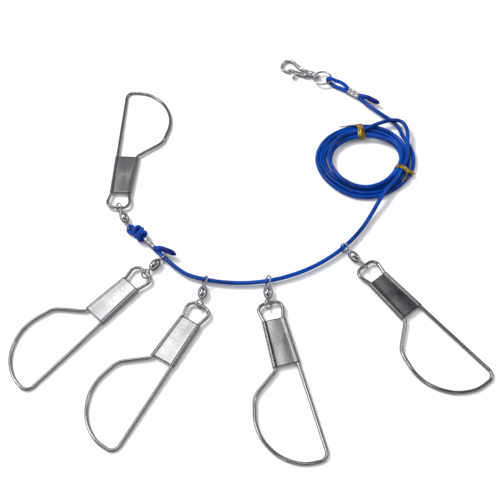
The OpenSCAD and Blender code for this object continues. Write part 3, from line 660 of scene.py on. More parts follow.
class StringerCord(bpy.types.PropertyGroup):
    """The coated cord"""

    thickness: size_value("Thickness", "Diameter of the coated cord", 0.0032, 0.0028, 0.0033)
    braid_pitch: size_value("Braid pitch", "Length of one crossing of the braid", 0.0021, 0.001, 0.005)
    braid_strands: IntProperty(name="Braid strands", description="Strands of each way round the cord",
                               default=4, min=2, max=12)
    looseness: size_value("Looseness", "How far the coil's loops stray", 0.0012, 0, 0.002)
    # The colour between the strands is painted shade
    gap_shade_colour: colour_value("Deep colour", "Colour between the strands", (0.0001, 0.01, 0.06))
    crown_colour: colour_value("Crown colour", "Colour on the strands", (0.0001, 0.09, 0.60))
    tail_colour: colour_value("Tail colour", "Colour of the melted tails", (0.002, 0.004, 0.12))


class StringerClips(bpy.types.PropertyGroup):
    """The wire clips and their sleeves"""

    wire: size_value("Wire", "Diameter of the spring wire", 0.0024, 0.002, 0.0028)
    sheet: size_value("Sheet", "Thickness of the sleeve's sheet", 0.0004, 0.0003, 0.0006)
    crown: size_value("Crown", "How far the sleeve's plate bulges", 0.00012, 0, 0.0003)
    wire_colour: colour_value("Wire colour", "Colour of the wire", (0.62, 0.62, 0.63))
    sheet_colour: colour_value("Sheet colour", "Colour of the sleeve", (0.56, 0.56, 0.565))
    sheet_roughness: share_value("Sheet roughness", "Roughness of the brushed sheet", 0.19)


class StringerMetal(bpy.types.PropertyGroup):
    """The swivels, the snap, the crimps and the ties"""

    ring_wire: size_value("Ring wire", "Diameter of the swivels' ring wire", 0.0012, 0.001, 0.0013)
    chrome_colour: colour_value("Chrome colour", "Colour of the snap", (0.9, 0.9, 0.9))
    nickel_colour: colour_value("Nickel colour", "Colour of the swivels", (0.86, 0.86, 0.86))
    chrome_roughness: share_value("Chrome roughness", "Roughness of the snap", 0.09)
    crimp_colour: colour_value("Crimp colour", "Colour of the crimps", (0.9, 0.9, 0.91))
    crimp_dent: size_value("Crimp dent", "Depth of a crimp's pressed lines", 0.00028, 0, 0.0004)
    foil_colour: colour_value("Foil colour", "Colour of the ties' foil", (0.95, 0.66, 0.14))


class StringerStage(bpy.types.PropertyGroup):
    """The floor, the lights and the camera"""

    floor_colour: colour_value("Floor colour", "Colour of the floor", (0.94, 0.94, 0.945))
    key_power: number_value("Key power", "Power of the light that casts shadows", 24, 0, unit="POWER")
    even_light: number_value("Even light", "Strength of the even white light", 0.62, 0)
    lens: number_value("Lens", "The camera's lens in millimetres", 60.1, 20)


# Pieces


def hook_turn(wire, r, away, start):
    """The half turn of an end loop round a ring's wire."""
    s = np.radians(np.arange(90, -91, -15))[:, None]
    return wire + r * (np.cos(s) * away + np.sin(s) * start)


# How far the coil's loops lie outside a round winding, at angles on the coil: the lower loops, the
# upper loop, and the last stretch, which bulges out over the lead
LOW_STRAY = ((-165, 2.8), (-138, 0.4), (-103, 0.2), (-68, -0.9), (-34, -1.6), (0, 0.4), (25, 0), (60, -1.2),
             (85, -1.6), (111, -0.6), (147, 2.6), (173, 4.2))
TOP_STRAY = ((-165, 2.0), (-130, 1.8), (-100, 2.6), (-60, 1.0), (-28, 0.6), (0, 2.6), (25, 1.8), (52, -2.6),
             (80, -3.6), (95, -3.4), (125, -0.6), (160, 1.4), (180, 2.4))
BULGE = ((-50, 0), (-28, 0), (0, 2.0), (15, 4.5), (25, 9.0), (34, 15.0), (42, 20.5), (50, 21.5), (57, 16.5),
         (66, 10.0), (78, 5.0), (88, 1.5), (100, 0))


# Two slow waves on the coil's loops: turns to a loop, phase and share. Then, in loops: where the
# upper loops' stray takes over and over how far, the fades at both ends of the coil, and where the
# bulge starts before the last end and over how far. Then the first loops' stray, how much of it
# each further loop adds, and the height and rate of the lower layer's sag
WANDER = ((2.3, 0.7, 0.3), (3.7, 2.0, 0.2))
SWAP_AT, SWAP_FADE, FIRST_FADE, LAST_FADE, BULGE_AT, BULGE_FADE = 0.35, 0.6, 0.25, 0.2, 0.62, 0.1
STRAY_SHARE, STRAY_GROWTH, SAG, SAG_RATE = 0.75, 0.12, 0.175, 1.3


def coil_points(loose):
    """The coil's middle line: r falls by a step in each loop of the lower layer, dips while the
    line climbs a layer in half a turn, and grows again by a step in each loop on top. To that
    comes how far the loops stray from a round winding. z is the layer's height and a slow sag,
    and three rounds of averaging with both neighbours ease the line."""
    last = LOW_LOOPS + CLIMB + 1 + (COIL_FROM - COIL_TO) / 360
    t = np.linspace(0, last, int(last * 72))
    s = np.clip((t - LOW_LOOPS) / CLIMB, 0, 1)
    low = COIL_R - COIL_STEP * t
    top = COIL_IN_R + COIL_STEP * (t - LOW_LOOPS - CLIMB)
    r = np.where(t < LOW_LOOPS, low, np.where(s < 1, COIL_IN_R - CLIMB_DIP * np.sin(np.pi * s), top))
    a = COIL_FROM - 360 * t
    q = np.radians(a)
    low_stray, top_stray = (np.interp(a, *np.array(x).T, period=360) for x in (LOW_STRAY, TOP_STRAY))
    swap = np.clip((t - LOW_LOOPS + SWAP_AT) / SWAP_FADE, 0, 1)
    ends = np.clip(t / FIRST_FADE, 0, 1) * np.clip((last - t) / LAST_FADE, 0, 1)
    wander = loose * sum(share * np.sin(k * q + phase) for k, phase, share in WANDER)
    r += ends * ((1 - swap) * low_stray * (STRAY_SHARE + STRAY_GROWTH * t) + swap * top_stray + wander)
    bulge = np.interp(a + 360 * int(last), *np.array(BULGE).T)
    r += bulge * np.clip((t - last + BULGE_AT) / BULGE_FADE, 0, 1)
    z = COIL_Z + COIL_STEP * s + SAG * np.sin(q * SAG_RATE) * (1 - s) * ends
    p = COIL_AT + np.stack([r * np.cos(q), r * np.sin(q), z], 1)
    for _ in range(3):
        p[1:-1] = (p[:-2] + 2 * p[1:-1] + p[2:]) / 4
    return p


# The knot's spiral round the first end loop: the angle it starts at and the angle it goes through,
# where on the loop it starts and its length, its radius, the most that a lump adds and how far a
# turn leans
KNOT_FROM, KNOT_SWEEP, KNOT_AT, KNOT_LEN, KNOT_R, KNOT_LUMP, KNOT_LEAN = -90, 1135, 2.6, 9.2, 3.1, 1.3, 1.5


def cord_route(loose):
    """The whole cord as points, from the first tail through the knot, along the clips, over and
    down the coil, and through the end loop to the second tail. Inside the knot it winds round the
    loop's first stretch in a spiral whose width and lean change on the way."""
    ring, out = ring_at(0), out_of(CLIPS[0][1])
    lean, core = math.radians(RING_LEAN), strand_at(0, 1, -1)
    start = math.sin(lean) * np.array([-out[1], out[0], 0]) - math.cos(lean) * UP
    turn_1 = hook_turn(ring - RING_R * out, CORD_R + RING_WIRE_R + LOOP_PLAY, out, start)
    axis = unit(turn_1[-1] - core)
    side = unit(np.cross(UP, axis))
    s = np.linspace(0, 1, 50)[:, None]
    a = np.radians(KNOT_FROM + s * KNOT_SWEEP)
    lump = np.sin(np.pi * s) * np.sin(a * 0.43 + 0.9) ** 2
    wide = KNOT_R + KNOT_LUMP * lump * (0.55 + 0.45 * np.sin(a))
    askew = KNOT_LEAN * np.sin(np.pi * s) * np.sin(a + 7 * s)
    wound = (core + (KNOT_AT + KNOT_LEN * s + askew) * axis
             + wide * (np.cos(a) * side + np.sin(a) * np.cross(axis, side)))
    tail_1 = [[-60.4, -10, 5.6], [-56.7, -11.6, 6.1], [-53, -13.4, 6], [-50, -15, 5.6], [-47.4, -16.6, 5]]
    knot = [[strand_at(0, -1, 1), strand_at(0, -1, -1)], wound, turn_1,
            [core + STRAIGHT * axis, core, strand_at(0, 1, 1)], tail_1]
    coil = coil_points(loose)
    leave, enter = (unit((p - q) * [1, 1, 0]) for p, q in ((coil[0], coil[1]), (coil[-1], coil[-2])))
    run = [[strand_at(0, -1, 1) + STRAIGHT * along(CRIMPS[0][1])],
           [[-59.4, -13.3, 3.2], [-57.5, -15.6, 3.4], [-51, -23.1, 3.4], [-45, -29, 3.4]],
           [at_height(ARC_AT + RUN_R * out_of(h), CORD_Z) for h in range(-25, 56, 5)],
           [[108, 13.4, 4.7], [113, 20.8, 5.8], [118.5, 28.5, 5.8]],
           [coil[-1] + 2 * STRAIGHT * enter, coil[-1] + STRAIGHT * enter]]
    lead = [[coil[0] + STRAIGHT * leave, coil[0] + 2 * STRAIGHT * leave],
            [[139, 92.5, 2.5], [135.5, 99, 2.9], [129.5, 105, 3.2], [122.5, 112.5, 3.4], [116.2, 120.3, 3.1]],
            [strand_at(1, -1, 1) + STRAIGHT * along(CRIMPS[1][1])]]
    turn_2 = hook_turn(CLASP_AT, CORD_R + LINK_WIRE_R + LOOP_PLAY, along(CLASP_ANGLE), -UP)
    tail_2 = [[113.4, 128.5, 4.5], [117.8, 125.5, 5], [122, 122, 5], [126, 119, 4.8]]
    loop = [[strand_at(1, -1, 1), strand_at(1, -1, -1)],
            [[99.3, 138.6, 2.3], [95.2, 141.6, 2], [91.6, 144.2, 1.8]], turn_2,
            [[92.2, 146.6, 6.2], [95.4, 145.4, 5.6], [99.4, 142.4, 5]],
            [strand_at(1, 1, -1), strand_at(1, 1, 1)], tail_2]
    return np.vstack([np.vstack(knot)[::-1], *run, coil[::-1], *lead, *loop])


# How far beyond a crimp its squeeze fades and how near a strand has to pass; then at a cut end the
# length and least share of its rounding, the length, fade and share of its swelling, and the length
# and fade of its dark colour
SQUEEZE_FADE, SQUEEZE_NEAR = 1.2, 4
TIP_LEN, TIP_SHARE, SWELL_LEN, SWELL_FADE, SWELL, DARK_LEN, DARK_FADE = 3, 0.35, 16, 2, 0.3, 15, 5


def cord_radius(path, full):
    """The cord's radius along its path, squeezed in the crimps, fuller in the tails and drawn in at
    the cut ends, and how much of each station belongs to a tail."""
    s = run_of(path)
    r = np.full(len(path), full)
    for place, h, _ in CRIMPS:
        q, off = np.abs((path[:, :2] - place) @ np.array([along(h)[:2], along(h + 90)[:2]]).T).T
        inside = np.clip(1 + (CRIMP_LEN / 2 - q) / SQUEEZE_FADE, 0, 1) * (off < SQUEEZE_NEAR)
        r -= (full - SQUEEZED_R) * inside
    left = np.minimum(s, s[-1] - s)
    tip = TIP_SHARE + (1 - TIP_SHARE) * np.sqrt(np.clip(left / TIP_LEN, 0, 1))
    swell = 1 + SWELL * np.clip((SWELL_LEN - left) / SWELL_FADE, 0, 1)
    return r * tip * swell, np.clip((DARK_LEN - left) / DARK_FADE, 0, 1)


class STRINGER_OT_cord(bpy.types.Operator):
    """Lays the one cord from tail to tail: knot, run, coil, lead and end loop"""

    bl_idname = "stringer.cord"
    bl_label = "Cord"

    def execute(self, context):
        c = context.scene.stringer_cord
        path = evenly(through(cord_route(c.looseness / MM)), 0.6)
        r, tails = cord_radius(path, c.thickness / MM / 2)
        t = tube(path, r, wide=1.0)
        t["rim"] = np.pad(tails, len(DOME), constant_values=1.0)[:, None]
        o = piece("braided_cord", [t], cord_finish(), "cord",
                  ("cord_run", "cord_coil", "cord_lead", "cord_knot", "cord_loop"))
        return {"FINISHED"}


# A crimp: its stations from its middle to an end, the radii of tube and bore about each strand, its
# pressed lines' place and reach, how much its edge is eased, and how flat it is, as a share
CRIMP_STATIONS = (0.4, 1.1, 1.7, 2.1, 2.5, 3.1, 3.9, 4.6, 5.19, 5.25)
CRIMP_OUT_R, CRIMP_BORE_R, PRESS_AT, PRESS_REACH = 1.68, 1.33, 2.1, 0.55
CRIMP_EASE, CRIMP_FLAT_SHARE = 0.07, 0.98


def crimp_part(dent):
    """A squeezed tube on two strands: its section is the smooth outline round two circles, pressed
    in by two lines across it, and its bore is the same outline drawn in by the wall."""
    half = np.array(CRIMP_STATIONS)
    x = np.r_[-half[::-1], half][:, None]
    a = all_round(40)[None, :]

    def outline(r):
        c, s = np.abs(np.cos(a)), np.abs(np.sin(a))
        to_side = STRAND_OFF * c + np.sqrt(np.maximum(r * r - (STRAND_OFF * s) ** 2, 0.2))
        to_flat = r * CRIMP_FLAT_SHARE / np.maximum(s, 1e-6)
        return (to_side ** -6 + to_flat ** -6) ** (-1 / 6)

    press = dent * np.exp(-((np.abs(x) - PRESS_AT) / PRESS_REACH) ** 2) + CRIMP_EASE * (np.abs(x) == half[-1])
    r = np.vstack([outline(CRIMP_OUT_R) - press, np.repeat(outline(CRIMP_BORE_R), len(x), 0)])
    x = np.vstack([x, x[::-1]])
    g = np.stack([np.repeat(x, r.shape[1], 1), r * np.cos(a), r * np.sin(a)], -1)
    return part(g, loop=True, wide=1.5, rim=(np.abs(x) >= half[-2]) * 1.0)


class STRINGER_OT_crimps(bpy.types.Operator):
    """Makes the two crimp tubes with their pressed lines"""

    bl_idname = "stringer.crimps"
    bl_label = "Crimps"

    def execute(self, context):
        dent = context.scene.stringer_metal.crimp_dent / MM
        for n, (place, h, roll) in enumerate(CRIMPS, 1):
            p = placed(crimp_part(dent), turn("Z", h) @ turn("X", roll), (*place, CORD_Z))
            piece(f"crimp_tube_{n}", [p], crimp_finish(), "cord", (f"crimp_{n}",))
        return {"FINISHED"}


def around(corners, r):
    """The closed line that lies r outside a convex row of points, in steps of 0.4."""
    path = []
    for before, c, after in zip(np.roll(corners, 1, 0), corners, np.roll(corners, -1, 0)):
        a, b = (math.atan2(-w[0], w[1]) for w in (c - before, after - c))
        path.append(c + arc(r, *np.degrees([a, b + 2 * math.pi * (b < a - 1e-6)]), 10))
    return evenly(np.vstack(path), 0.4, closed=True)


def strands_by(angle):
    """The strands of the coil that pass an angle, as radius and height, and the convex row of
    points round them, worked out by turning always to the outermost next point."""
    p = coil_points(bpy.context.scene.stringer_cord.looseness / MM) - COIL_AT
    off = (np.degrees(np.arctan2(p[:, 1], p[:, 0])) - angle + 180) % 360 - 180
    at = np.nonzero((off[:-1] > 0) & (off[1:] <= 0) & (off[:-1] < 30))[0]
    q = np.stack([np.hypot(p[at, 0], p[at, 1]), p[at, 2]], 1)
    row, heading = [int(np.lexsort((q[:, 0], q[:, 1]))[0])], 0.0
    while True:
        v = q - q[row[-1]]
        go = (np.arctan2(v[:, 1], v[:, 0]) - heading) % (2 * np.pi)
        go[np.hypot(*v.T) < 1e-6] = 9.0
        k = int(np.argmin(np.round(go, 6)))
        heading += go[k]
        if k == row[0] or len(row) > len(q):
            return q, q[row]
        row.append(k)


# The band's core wire and its reach across, and its folds: how many, with the ranges of their
# height, phase and slant
CORE_RISE, CORE_REACH, FOLDS, FOLD_RANGES = 0.28, 0.2, 7, ((0.03, 0.09), (0, 6), (-1.5, 1.5))


def band_part(path, width, thick, seed):
    """A foil strip round the strands: along the strip a flat lens with a round core, creased by
    waves that run across it."""
    ahead = unit(np.roll(path, -1, 0) - np.roll(path, 1, 0))
    normal = np.stack([ahead[:, 1], -ahead[:, 0]], 1)
    if ((path - path.mean(0)) * normal).sum() < 0:
        normal = -normal
    w = np.linspace(-1, 1, 13)
    upper = np.repeat([1.0, -1.0], len(w))
    w = np.r_[w, w[::-1]]
    core = CORE_RISE * np.exp(-((w / CORE_REACH) ** 2)) * (upper > 0)
    lens = thick / 2 * (1 - np.abs(w) ** 6) ** 0.5 * upper + core
    rng = np.random.default_rng(seed)
    s = all_round(len(path))[:, None]
    waves = [rng.integers(4, 17, FOLDS), *[rng.uniform(a, b, FOLDS) for a, b in FOLD_RANGES]]
    crease = sum(a * np.sin(k * s + p + q * w * 2) for k, a, p, q in zip(*waves))
    half = width / 2 * (1 + 0.08 * np.sin(3 * s + seed) + 0.05 * np.sin(7 * s))
    p = path[:, None] + (lens + 0.12 + np.abs(crease))[..., None] * normal[:, None]
    return part(np.stack([p[..., 0], half * w, p[..., 1]], -1), loop=True)


def twist_part(path, width, turns, seed):
    """A twisted foil tail: a flat section that turns about the tail's line and narrows to its tip."""
    _, side, top = frames(path, up=UP)
    s = np.linspace(0, 1, len(path))[:, None]
    a = all_round(14)[None, :]
    spin = 2 * np.pi * turns * s + seed
    x = width / 2 * (1 - 0.35 * s) * (1 + 0.15 * np.sin(25 * s + seed)) * np.cos(a)
    y = 0.3 * np.sin(a)
    u, v = x * np.cos(spin) - y * np.sin(spin), x * np.sin(spin) + y * np.cos(spin)
    return part(path[:, None] + u[..., None] * side[:, None] + v[..., None] * top[:, None], wide=0.5)


# Each tie: its angle on the coil, its width, and its tails as share of the way across, first and
# second heading, and length
TIES = ((92, 5.4, ((0.9, 170, 186, 17),)),
        (-28, 3.4, ((0.3, -45, -25, 12), (0.75, -100, -125, 12))))
# The band's distance from the strands and its thickness; the tails' width, height above the
# strands, length of a twist and bend
BAND_OFF, BAND_T, TAIL_W, TAIL_RISE, TAIL_TWIST, TAIL_BEND = 0.4, 0.3, 1.7, 2.6, 4.5, 2.4


class STRINGER_OT_ties(bpy.types.Operator):
    """Makes the two gold twist ties on the coil, each a creased band with twisted tails"""

    bl_idname = "stringer.ties"
    bl_label = "Twist ties"

    def execute(self, context):
        for k, (angle, width, tails) in enumerate(TIES):
            strands, corners = strands_by(angle)
            band = band_part(around(corners, CORD_R + BAND_OFF), width, BAND_T, k + 3)
            parts = [placed(band, turn("Z", angle), COIL_AT)]
            for j, (share, first, second, long_) in enumerate(tails):
                r = corners[:, 0].min() + share * np.ptp(corners[:, 0])
                z = np.interp(r, *strands[np.argsort(strands[:, 0])].T) + TAIL_RISE
                p = [r * along(angle), r * along(angle) + long_ / 3 * along(first)]
                p.append(p[1] + 2 * long_ / 3 * along(second))
                line = evenly(rounded(p, (0, TAIL_BEND, 0)), 0.3) + COIL_AT + z * UP
                parts.append(twist_part(line, TAIL_W, long_ / TAIL_TWIST, 1.3 * j + k))
            piece(f"twist_tie_{k + 1}", parts, foil_finish(), "cord", (f"tie_{k + 1}",), sharp=60)
        return {"FINISHED"}


def wire_corners():
    """The corners of the clip's wire with their bend radii, from the gripped end round the eye and
    the bow to the leg's place in the sleeve."""
    mouth, shoulder = EYE_LEN - MOUTH_BEND / 6, SLEEVE_END + SHOULDER_BEND / 2
    rows = [(side_x(EYE_LEN + GRIP_LEN), -(EYE_LEN + GRIP_LEN), 0),
            (side_x(mouth), -mouth, MOUTH_BEND), (EYE_W / 2, 0, EYE_BEND), (-EYE_W / 2, 0, EYE_BEND),
            (-side_x(mouth), -mouth, MOUTH_BEND), (-side_x(shoulder), -shoulder, SHOULDER_BEND)]
    rows += [(x * BOW_W, -(SLEEVE_END + y * BOW_LEN), b * BOW_W) for (x, y), b in zip(ARC_SHARES, ARC_BENDS)]
    rows += [(side_x(BOW_END), -BOW_END, CORNER_BEND), (side_x(SLEEVE_END), -SLEEVE_END, 0)]
    return rows


class STRINGER_OT_wires(bpy.types.Operator):
    """Bends the five clips' wires: the eye and bow, and as a piece on no body the corner and leg,
    which spring open on the real clip
    """

    bl_idname = "stringer.wires"
    bl_label = "Clip wires"

    def execute(self, context):
        r = context.scene.stringer_clips.wire / MM / 2
        rows = wire_corners()
        before, corner, after = (np.array([*row[:2], 0.0]) for row in rows[-3:])
        u, v = unit(corner - before), unit(after - corner)
        reach = CORNER_BEND * math.tan(math.acos(float(u @ v)) / 2)
        cut, bent = corner - reach * u, corner + reach * v
        tip = corner + v * ((SEAT_LEN - SLEEVE_END - corner[1]) / v[1])
        bow = rounded([x[:2] for x in rows[:-2]] + [cut], [x[2] for x in rows[:-2]] + [0])
        leg = rounded([cut, corner, tip], (0, CORNER_BEND, 0), fine=3)
        wires = (("bow", evenly(bow, 0.6), "wire"), ("spring_leg", evenly(leg, 0.6), "leg"))
        for i in range(5):
            m, p = at_clip(i)
            clip = f"clip_{i + 1}"
            for name, line, stands in wires:
                t = placed(tube(line, r, sides=18, up=UP, dome=False), m, p)
                body = clip if stands == "wire" else None
                o = piece(f"{clip}_{name}", [t], wire_finish(), body, (f"{clip}_{stands}",), sharp=50)
            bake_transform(o)
        return {"FINISHED"}


# The sheet's section: its stations round a wire, across the plate, and those left unsmoothed
ROLL_STATIONS, PLATE_STATIONS, KEPT_STATIONS = 22, 21, 18
# The sheet's cut edge: its length, how much thinner it is, and the step to the next station. Then
# the length over which the leg's side opens from grip to lip
EDGE_LEN, EDGE_EASE, EDGE_STEP, GRIP_FADE = 0.1, 0.07, 0.8, 1.2
# The plate's waves: counts across it and along it, with their height, and the length for the second
PLATE_WAVES = ((1, 1.0, 0.03), (2, 0.6, 0.025), (3, 1.7, 0.015))
WAVE_LEN = 9


def sleeve_part(thick, crown, seed):
    """The folded sheet. In section its middle line runs round one wire, over its top, across the
    plate and round the other wire; the outline is that line half the sheet to each side, with
    round edges. Down the clip the rolls stand further apart, and past the grip the leg's side
    stops at the open lip. The plate rises by the crown times (1 - w squared) squared, w from -1 to
    1 across it, and by the waves, which die out at its sides."""
    y = np.r_[EYE_LEN, EYE_LEN + EDGE_LEN, np.linspace(EYE_LEN + EDGE_STEP, SLEEVE_END - EDGE_STEP, 50),
              SLEEVE_END - EDGE_LEN, SLEEVE_END][:, None]
    x = side_x(y)
    lip = CRIMP_WRAP + (LIP_WRAP - CRIMP_WRAP) * np.clip(0.5 + (y - EYE_LEN - GRIP_LEN) / GRIP_FADE, 0, 1)
    big = ROLL_IN + thick / 2
    plate_z = big - PLATE_DROP
    meet = math.degrees(math.asin(plate_z / big))
    q = np.linspace(0, 1, ROLL_STATIONS)[None, :]
    left = np.radians(180 + CRIMP_WRAP - q * (180 + CRIMP_WRAP - meet)) * np.ones_like(x)
    right = np.radians(180 - meet - q * (180 - meet + lip))
    w = np.linspace(-1, 1, PLATE_STATIONS)[None, 1:-1]
    phases = np.random.default_rng(seed).uniform(0, 6, len(PLATE_WAVES))
    wave = sum(h * np.sin(k * w + m * y / WAVE_LEN + p) for (k, m, h), p in zip(PLATE_WAVES, phases))
    flat_z = plate_z + crown * (1 - w ** 2) ** 2 + wave * (1 - w ** 4)
    flat_x = (x - big * math.cos(math.radians(meet))) * w
    mid = np.stack([np.hstack([-x + big * np.cos(left), flat_x, x + big * np.cos(right)]),
                    np.hstack([big * np.sin(left), flat_z, big * np.sin(right)])], -1)
    k = KEPT_STATIONS
    for _ in range(2):
        mid[:, k:-k] = (mid[:, k - 1:-k - 1] + 2 * mid[:, k:-k] + mid[:, k + 1:1 - k]) / 4
    d = unit(np.gradient(mid, axis=1))
    normal = np.stack([-d[..., 1], d[..., 0]], -1)
    ends = (y == EYE_LEN) | (y == SLEEVE_END)
    h = (thick / 2 - EDGE_EASE * ends)[..., None]
    a = np.radians([60.0, 0.0, -60.0])[None, :, None]
    cap_b = mid[:, -1:] + h * (np.sin(a) * normal[:, -1:] + np.cos(a) * d[:, -1:])
    cap_a = mid[:, :1] - h * (np.sin(a) * normal[:, :1] + np.cos(a) * d[:, :1])
    line = np.concatenate([mid + h * normal, cap_b, (mid - h * normal)[:, ::-1], cap_a], 1)
    # The rim marks the sheet's cut edges, where the finish paints shade
    rim = np.zeros(line.shape[:2])
    rim[:2] = rim[-2:] = rim[:, -3:] = rim[:, mid.shape[1]:mid.shape[1] + 3] = 1
    return part(np.stack([line[..., 0], -y * np.ones_like(rim), line[..., 1]], -1), wide=5.0, rim=rim)


class STRINGER_OT_sleeves(bpy.types.Operator):
    """Folds the five clips' sheet sleeves round their wires"""

    bl_idname = "stringer.sleeves"
    bl_label = "Sleeves"

    def execute(self, context):
        c = context.scene.stringer_clips
        for i in range(5):
            p = placed(sleeve_part(c.sheet / MM, c.crown / MM, i + 1), *at_clip(i))
            piece(f"clip_{i + 1}_folded_sheet", [p], sleeve_finish(i), f"clip_{i + 1}",
                  (f"clip_{i + 1}_sleeve",), sharp=42)
        return {"FINISHED"}


# Turned profiles, as how far along and how far out: the swivel's stem from its ring, the stem's head
# from its start, the barrel's end from its middle, and of the snap the boss from its shoulder, the
# stud from the hub, and the hub's and the rivet's end from their middles
STEM = ((-0.35, 0), (-0.35, 0.5), (0.1, 0.92), (0.7, 0.95), (1.1, 0.78), (1.4, 0.75))
HEAD = ((0, 0.75), (0, 1.3), (0.1, 1.4), (0.8, 1.4), (0.9, 1.3), (0.9, 0))
BARREL_END = ((-3.7, 1.8), (-3.7, 0.81), (-5.02, 0.81), (-5.1, 0.9), (-5.1, 1.5), (-5.02, 1.6), (-4.75, 1.62))
BOSS = ((0, 0), (0, 2.3), (0.15, 2.6), (0.5, 2.78), (1.3, 2.8), (3.1, 2.76), (4.2, 2.3), (5, 1.4), (5, 0))
STUD = ((-1.6, 0), (-1.6, 1.5), (-1.3, 1.9), (-0.3, 1.9), (0, 1.6), (0, 1.08))
HUB_END = ((-2, 1.18), (-2, 2), (-1.85, 2.25), (-1.5, 2.4))
RIVET_END = ((-2.16, 0), (-2.16, 0.9), (-2, 1.25), (-1.7, 1.4), (-1.68, 0.8))
BARREL_LEN, HEAD_INSIDE = 10.2, 1.55
HEAD_AT = (SWIVEL_LEN - BARREL_LEN) / 2 + HEAD_INSIDE
# The barrel's egg: how far it goes each way, its radius there and how much its belly adds
EGG_REACH, EGG_END_R, EGG_BELLY = 4.6, 1.78, 1.57


def ring_part(r, wire_r, sides, count, at=0.0, lean=0.0):
    """A closed wire ring about a point on the X axis, leaned over by an angle about that axis."""
    a = all_round(count)
    m = turn("X", lean)
    line = np.stack([at + r * np.cos(a), r * np.sin(a), 0 * a], 1)
    return tube(line @ m.T, wire_r, sides=sides, up=m @ UP, closed=True)


def eye_parts(wire_r):
    """A swivel's ring with its stem: a torus, a stem that swells into it, and the stem's head."""
    stem = [(RING_R + x, r) for x, r in STEM] + [(HEAD_AT + x, r) for x, r in HEAD]
    return [ring_part(RING_R, wire_r, 18, 56, lean=RING_LEAN), lathe(stem, sides=32)]


def barrel_part():
    """The turned barrel: outside, one arc from collar to collar, and inside, the stem's hole and
    the hollow for the heads."""
    u = np.linspace(-1, 1, 29)
    egg = np.stack([u * EGG_REACH, EGG_END_R + EGG_BELLY * (1 - np.abs(u) ** 2.3) ** 0.85], 1)
    return lathe(two_ended(BARREL_END, egg), loop=True)


class STRINGER_OT_swivels(bpy.types.Operator):
    """Makes the five barrel swivels: two rings with stems and heads, and the barrel on them"""

    bl_idname = "stringer.swivels"
    bl_label = "Swivels"

    def execute(self, context):
        r = context.scene.stringer_metal.ring_wire / MM / 2
        for i in range(5):
            m, at = turn("Z", CLIPS[i][1] - 90), ring_at(i)
            away = m @ np.array([SWIVEL_LEN, 0, 0])
            rows = (("cord_eye", eye_parts(r), m, at, "cord_ring"),
                    ("clip_eye", eye_parts(r), m @ turn("Z", 180), at + away, "eye_ring"),
                    ("shell", [barrel_part()], m, at + away / 2, "barrel"))
            for name, parts, way, place, stands in rows:
                body = f"swivel_{i + 1}_{stands}"
                piece(f"swivel_{i + 1}_{name}", [placed(p, way, place) for p in parts], satin_finish(),
                      body, (body,))
        return {"FINISHED"}


# The snap's bar as shares of its length and width, with its bends as shares of the width, the
# gate's tip and upper edge as shares of its reach and, from its top up, of its eye's radius, and
# its lower edge's one point as such shares from its pivot
HOOK_SHARES = ((0.08, -0.09, 0), (0.4, -0.09, 0.6), (0.74, -0.4, 0.32), (0.9516, -0.4, 0.32),
               (0.9516, 0.4, 0.34), (0.665, 0.4, 0))
GATE_SHARES = ((0.97, -1), (1, -0.8), (1, -0.105), (0.98, 0), (0.76, 0), (0.66, 0.3), (0.58, 0.7),
               (0.38, 0.7), (0.2, 0.62))
BELLY_SHARES = (0.36, -0.42)
# The gate's play; the radius of the thumb ball and of its stem, how high it stands over the gate's
# top beyond the eye's radius, and how far along the reach, as a share
GATE_PLAY, BALL_R, BALL_STEM_R, BALL_OFF, BALL_SHARE = 0.08, 1.7, 0.7, 3.4, 0.48
# Beside the pivot: half the cheeks' foot and neck with the neck's height, and the top of the block
# between them as half its width and its height
CHEEK_FOOT, CHEEK_NECK, NECK_RISE, BLOCK_TOP, BLOCK_HEIGHT = 3, 2.6, 1, 2.3, 1.1
# How much of the bar's radius is lost towards its tip, and from which share of its length; how far
# the stud goes into the boss; and the eased edges of the cheeks and of the gate
BAR_LOSS_SHARE, BAR_FROM_SHARE, STUD_INSIDE, CHEEK_BEVEL, GATE_BEVEL = 0.1, 0.3, 0.6, 0.15, 0.2


def hook_parts():
    """The snap's body: turned boss and stud, the bar that thins towards the hook's tip, and the
    two cheeks that hold the gate."""
    corners = [(SHOULDER + x * SNAP_LEN, y * SNAP_W) for x, y, r in HOOK_SHARES]
    line = evenly(rounded(corners, [r * SNAP_W for x, y, r in HOOK_SHARES], fine=3), 0.4)
    thin = np.clip((np.linspace(0, 1, len(line)) - BAR_FROM_SHARE) / (1 - BAR_FROM_SHARE), 0, 1)
    bar = tube(line, HOOK_R * (1 - BAR_LOSS_SHARE * thin), sides=20, up=UP)
    stud_at = HUB_AT - HUB_LEN / 2 - HEAD_PLAY
    inside = SHOULDER + STUD_INSIDE - stud_at
    stud = lathe([*STUD, (inside, STUD[-1][1]), (inside, 0)], sides=32, at=stud_at)
    cheek_z = GATE_T / 2 + GATE_PLAY + CHEEK_T / 2
    foot, top = HOOK_SHARES[0][1] * SNAP_W - PIVOT[1], BLOCK_HEIGHT - PIVOT[1]
    neck = foot + NECK_RISE
    cheek = np.vstack([arc(LUG_R, 0, 180, 19), [[-CHEEK_NECK, neck], [-CHEEK_FOOT, foot], [CHEEK_FOOT, foot],
                                                [CHEEK_NECK, neck]]])
    block = np.array([[-CHEEK_FOOT, foot], [CHEEK_FOOT, foot], [BLOCK_TOP, top], [-BLOCK_TOP, top]])
    rows = ((cheek, CHEEK_T, cheek_z), (cheek, CHEEK_T, -cheek_z), (block, 2 * cheek_z + CHEEK_T, 0))
    return [bar, lathe(BOSS, at=SHOULDER), stud, *[plate(o + PIVOT, t, CHEEK_BEVEL, z) for o, t, z in rows]]


